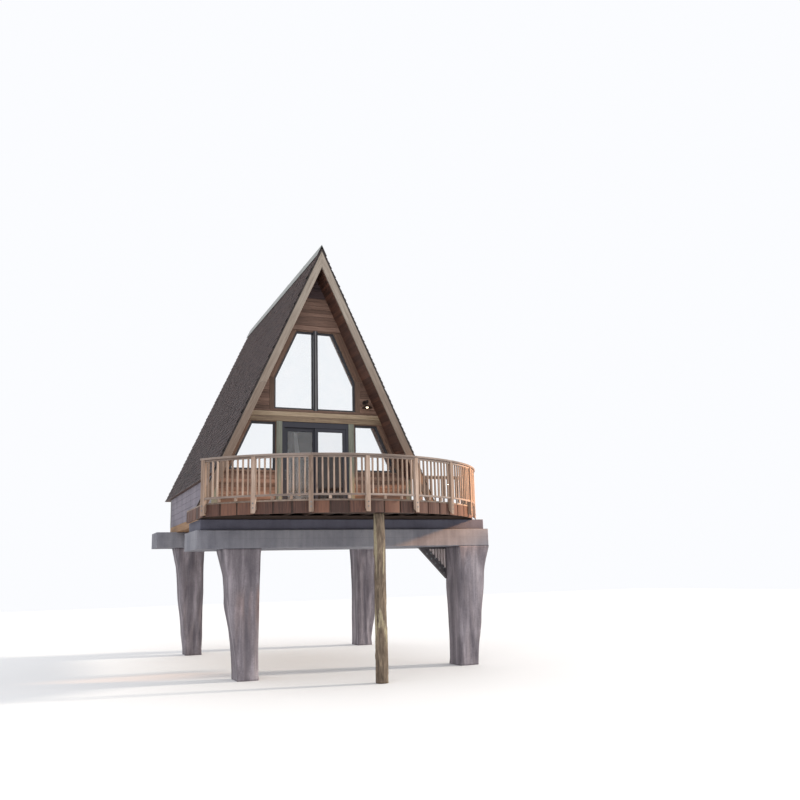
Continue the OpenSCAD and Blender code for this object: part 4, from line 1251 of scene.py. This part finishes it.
def fill_casing(bm):
    """Thin wooden cover boards that lap the outer edge of the window frames."""
    tall = [(-UPPER_HALF, BEAM), (UPPER_HALF, BEAM), (UPPER_HALF, KNEE), (xi(HEAD) - RAKE_IN, HEAD),
            (RAKE_IN - xi(HEAD), HEAD), (-UPPER_HALF, KNEE)]
    ring_of_beads(bm, shrink(tall, 0.0005), 0.028, RECESS + 0.002, FRAME_Y - 0.001, 0.004)
    for side in (-1, 1):
        low = [(side * x, z) for x, z in ((POST_OUT, SILL), (low_x(SILL), SILL), (low_x(LOFT), LOFT), (POST_OUT, LOFT))]
        low = low if side > 0 else low[::-1]
        ring_of_beads(bm, shrink(low, 0.0005), 0.024, RECESS + 0.002, FRAME_Y - 0.001, 0.004)


piece_of("window_casing", fill_casing, [clad_upright])


def fill_beads(bm):
    """Glazing beads and black gaskets in the fixed windows, front and rear."""
    lites = []
    for side in (-1, 1):
        lites += [([(side * x, z) for x, z in UPPER_LITE], RECESS + 0.1, -1),
                  ([(side * x, z) for x, z in SIDE_LITE], RECESS + 0.1, -1)]
        for (x0, x1), (z0, z1) in (REAR_LOW, REAR_HIGH):
            lites.append(([(side * 0.035, z0 + STILE), (side * (x1 - STILE), z0 + STILE),
                           (side * (x1 - STILE), z1 - STILE), (side * 0.035, z1 - STILE)], REAR - 0.076, 1))
    for outline, glass, way in lites:
        ring_of_beads(bm, outline, 0.016, glass + way * 0.003, glass + way * 0.030, 0.004)
        ring_of_beads(bm, outline, 0.022, glass + way * 0.0004, glass + way * 0.004, 0.001, skin=1)


piece_of("window_beads", fill_beads, [frame_coat, gasket_rubber])


def fill_mullion(bm):
    """The cover on the tall mullion: a flat face with a shallow channel each side, and a pale worn edge."""
    y = RECESS - PROUD
    for x0, x1, deep in ((-0.062, -0.024, 0.004), (-0.022, 0.022, 0.0), (0.024, 0.062, 0.004)):
        block(bm, (x0, y - 0.004 + deep, BEAM + 0.004), (x1, y + 0.03, HEAD - 0.004), 0.004)


piece_of("mullion_cover", fill_mullion, [mullion_coat])

for word, handle_side in (("left", -1), ("right", 1)):
    low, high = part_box("door_leaf_" + word)
    glass_low, glass_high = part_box("door_glass_" + word)

    def fill_leaf(bm):
        """Beads and gaskets round the leaf's glass, and a pull with a rubber insert."""
        g0, g1 = (glass_low.x - AXIS, glass_low.z - FLOOR), (glass_high.x - AXIS, glass_high.z - FLOOR)
        pane = [g0, (g1[0], g0[1]), g1, (g0[0], g1[1])]
        y0, y1 = glass_low.y - FACE, glass_high.y - FACE
        ring_of_beads(bm, pane, 0.014, y0 - 0.002, y0 - 0.009, 0.003)
        ring_of_beads(bm, pane, 0.014, y1 + 0.002, y1 + 0.009, 0.003)
        ring_of_beads(bm, pane, 0.020, y0 - 0.0004, y0 - 0.003, 0.0008, skin=1)
        # a flush pull on the leaf's outer stile
        x = (high.x if handle_side > 0 else low.x) - AXIS - handle_side * 0.043
        front = low.y - FACE
        block(bm, (x - 0.017, front - 0.005, 0.92), (x + 0.017, front + 0.002, 1.20), 0.002, skin=2)
        block(bm, (x - 0.009, front - 0.0058, 0.94), (x + 0.009, front - 0.004, 1.18), 0.0006, skin=1)

    piece_of("door_trim_" + word, fill_leaf, [door_coat, gasket_rubber, bolt_steel],
             body="door_" + word)

# ---- Curtains ----
ROD_Y, ROD_Z, HEM = INSIDE + 0.075, 2.34, 0.03
FOLDS, CLOTH_W, CLOTH_T = 5, 0.80, 0.0012


def wave(span, sway, steps=12):
    """Points across a gathered cloth, as deep as it takes for its full width to fit in the span."""
    count = FOLDS * steps

    def across(deep):
        return [(span * k / count, deep * math.sin(math.tau * k / steps + sway)) for k in range(count + 1)]

    def reach(deep):
        line = across(deep)
        return sum(math.dist(a, b) for a, b in zip(line, line[1:]))

    low, high = 0.0, 0.2
    for _ in range(24):
        low, high = ((low + high) / 2, high) if reach((low + high) / 2) < CLOTH_W else (low, (low + high) / 2)
    return across(low)


def hang_curtain(name, x_top, x_low, span_top, span_low, sway):
    """A sheer curtain gathered on the rod, that spreads a little on its way down."""
    bm, rows, levels = bmesh.new(), [], 20
    for k in range(levels + 1):
        z = ROD_Z - 0.016 - (ROD_Z - 0.016 - HEM) * k / levels
        ease = min(1.0, k / levels * 2.2)
        ease = ease * ease * (3 - 2 * ease)
        left, span = x_top + (x_low - x_top) * ease, span_top + (span_low - span_top) * ease
        rows.append([bm.verts.new(at(left + x, ROD_Y + y, z)) for x, y in wave(span, sway + 0.6 * ease)])
    for a, b in zip(rows, rows[1:]):
        for k in range(1, len(a)):
            bm.faces.new((a[k - 1], b[k - 1], b[k], a[k]))
    mesh = bpy.data.meshes.new(name)
    bm.to_mesh(mesh)
    bm.free()
    mesh.shade_smooth()
    cloth = bpy.data.objects.new(name, mesh)
    scene.collection.objects.link(cloth)
    skin = cloth.modifiers.new("cloth", "SOLIDIFY")
    skin.thickness, skin.offset = CLOTH_T, 0.0
    hand_over(cloth, [curtain_voile])


def fill_rod(bm):
    """A steel rod on three brackets over the door's left leaf."""
    for x0, x1, radius in ((-1.06, 0.02, 0.009), (-1.075, -1.06, 0.016), (0.02, 0.035, 0.016)):
        ring = [(ROD_Y + radius * math.cos(math.tau * k / 12), ROD_Z + radius * math.sin(math.tau * k / 12))
                for k in range(12)]
        board(bm, ring, x0, x1, lambda u, v, w: at(w, u, v), 0.001)
    for x in (-1.045, -0.50, 0.008):
        block(bm, (x - 0.006, INSIDE, ROD_Z - 0.004), (x + 0.006, ROD_Y - 0.0085, ROD_Z + 0.004), 0.001)
        block(bm, (x - 0.015, INSIDE, ROD_Z - 0.035), (x + 0.015, INSIDE + 0.005, ROD_Z + 0.035), 0.001)


piece_of("curtain_rod", fill_rod, [bolt_steel])
hang_curtain("curtain_left", -0.985, -0.985, 0.10, 0.30, 0.0)
hang_curtain("curtain_middle", -0.60, -0.53, 0.10, 0.15, 1.1)

# ---- Parts that keep their own shape, with their finish ----
# These have no separate boards, so their wood keeps one tone
soffit_plain = timber("pine_roof_deck_red_stain", "664538", "4F352B", "35231E", "Y", 8.0, each_board=False)
room_floor = timber("pine_floor_boards_oiled", "A8835E", "8C6A49", "664B35", "Y", 7.0, each_board=False)
under_pine = timber("pine_beams_dark_plain", "574439", "41322B", "2B211D", "Y", 8.0, each_board=False)
plate_pine = timber("pine_plates_dark_plain", "574439", "41322B", "2B211D", "X", 8.0, each_board=False)
for material, names in (
        (soffit_plain, ("roof_slabs",)), (room_floor, ("cabin_floor", "loft_floor")), (under_pine, ("floor_beams",)),
        (plate_pine, ("sole_plates",)), (frame_coat, ("upper_frame", "side_frames", "rear_frames")),
        (door_coat, ("door_jambs", "door_head_frame", "door_leaf_left", "door_leaf_right")),
        (ridge_zinc, ("door_sill",)), (window_float, ("window_glass",)), (door_film, ("door_glass_right",)),
        (door_float, ("door_glass_left",)), (lamp_iron, ("wall_lamp",)), (bulb_glass, ("lamp_bulb",))):
    for name in names:
        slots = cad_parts[name].data.materials
        for k in range(len(slots)):
            slots[k] = material
        if not slots:
            slots.append(material)

# ---- Floor, light and camera ----
floor_mesh = bpy.data.meshes.new("studio_floor")
floor_mesh.from_pydata([(x * 60, y * 60, -0.004) for x, y in ((-1, -1), (1, -1), (1, 1), (-1, 1))], [], [(0, 1, 2, 3)])
floor_finish, floor_add, floor_point = finish("painted_floor_pale")
floor_cloud = floor_add("TexNoise", {"Vector": floor_point, "Scale": 0.2})
shade(floor_finish, Roughness=0.8, Base_Color=floor_add("Mix", {
    "Factor": floor_cloud, "A": linear("EDEDEE"), "B": linear("F4F4F4")}, data_type="RGBA"))
floor_mesh.materials.append(floor_finish)
studio_floor = bpy.data.objects.new("studio_floor", floor_mesh)
scene.collection.objects.link(studio_floor)
studio_floor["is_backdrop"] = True

world = bpy.data.worlds.new("studio")
scene.world = world
world.use_nodes = True
sky = world.node_tree.nodes["Background"]
sky.inputs["Color"].default_value = (0.965, 0.975, 1.0, 1.0)
sky.inputs["Strength"].default_value = 1.0


def lamp(name, kind, where, aim, energy, colour, size):
    """One studio light, turned towards a point."""
    data = bpy.data.lights.new(name, kind)
    data.energy, data.color = energy, colour
    if kind == "SUN":
        data.angle = size
    elif kind == "AREA":
        data.size = size
    made = bpy.data.objects.new(name, data)
    made.location = where
    made.rotation_euler = (Vector(aim) - Vector(where)).to_track_quat("-Z", "Y").to_euler()
    scene.collection.objects.link(made)
    return made


lamp("key_sun", "SUN", (20, -4, 15), (0, 0, 6), 2.3, (1.0, 0.88, 0.74), math.radians(5))
glow = lamp("low_warm_spot", "SPOT", at(14.0, -5.5, 3.6), at(4.3, -1.5, 0.55), 13000, (1.0, 0.5, 0.2), 0.0)
glow.data.spot_size, glow.data.spot_blend, glow.data.shadow_soft_size = math.radians(17), 0.6, 0.4
lamp("front_softbox", "AREA", (-14, -26, 18), (0, 0, 6), 600, (0.95, 0.97, 1.0), 14)

camera_data = bpy.data.cameras.new("camera")
camera_data.lens, camera_data.sensor_width = 38.369, 36.0
camera_data.clip_end = 400
camera = bpy.data.objects.new("camera", camera_data)
right, up = Vector((0.92389, -0.38181, -0.02530)), Vector((-0.05298, -0.19313, 0.97974))
back = right.cross(up)
camera.matrix_world = Matrix.Translation((-7.7631, -25.9837, 2.5611)) @ Matrix((right, up, back)).transposed().to_4x4()
scene.collection.objects.link(camera)
scene.camera = camera
scene.view_settings.view_transform = "Standard"

low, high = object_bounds()
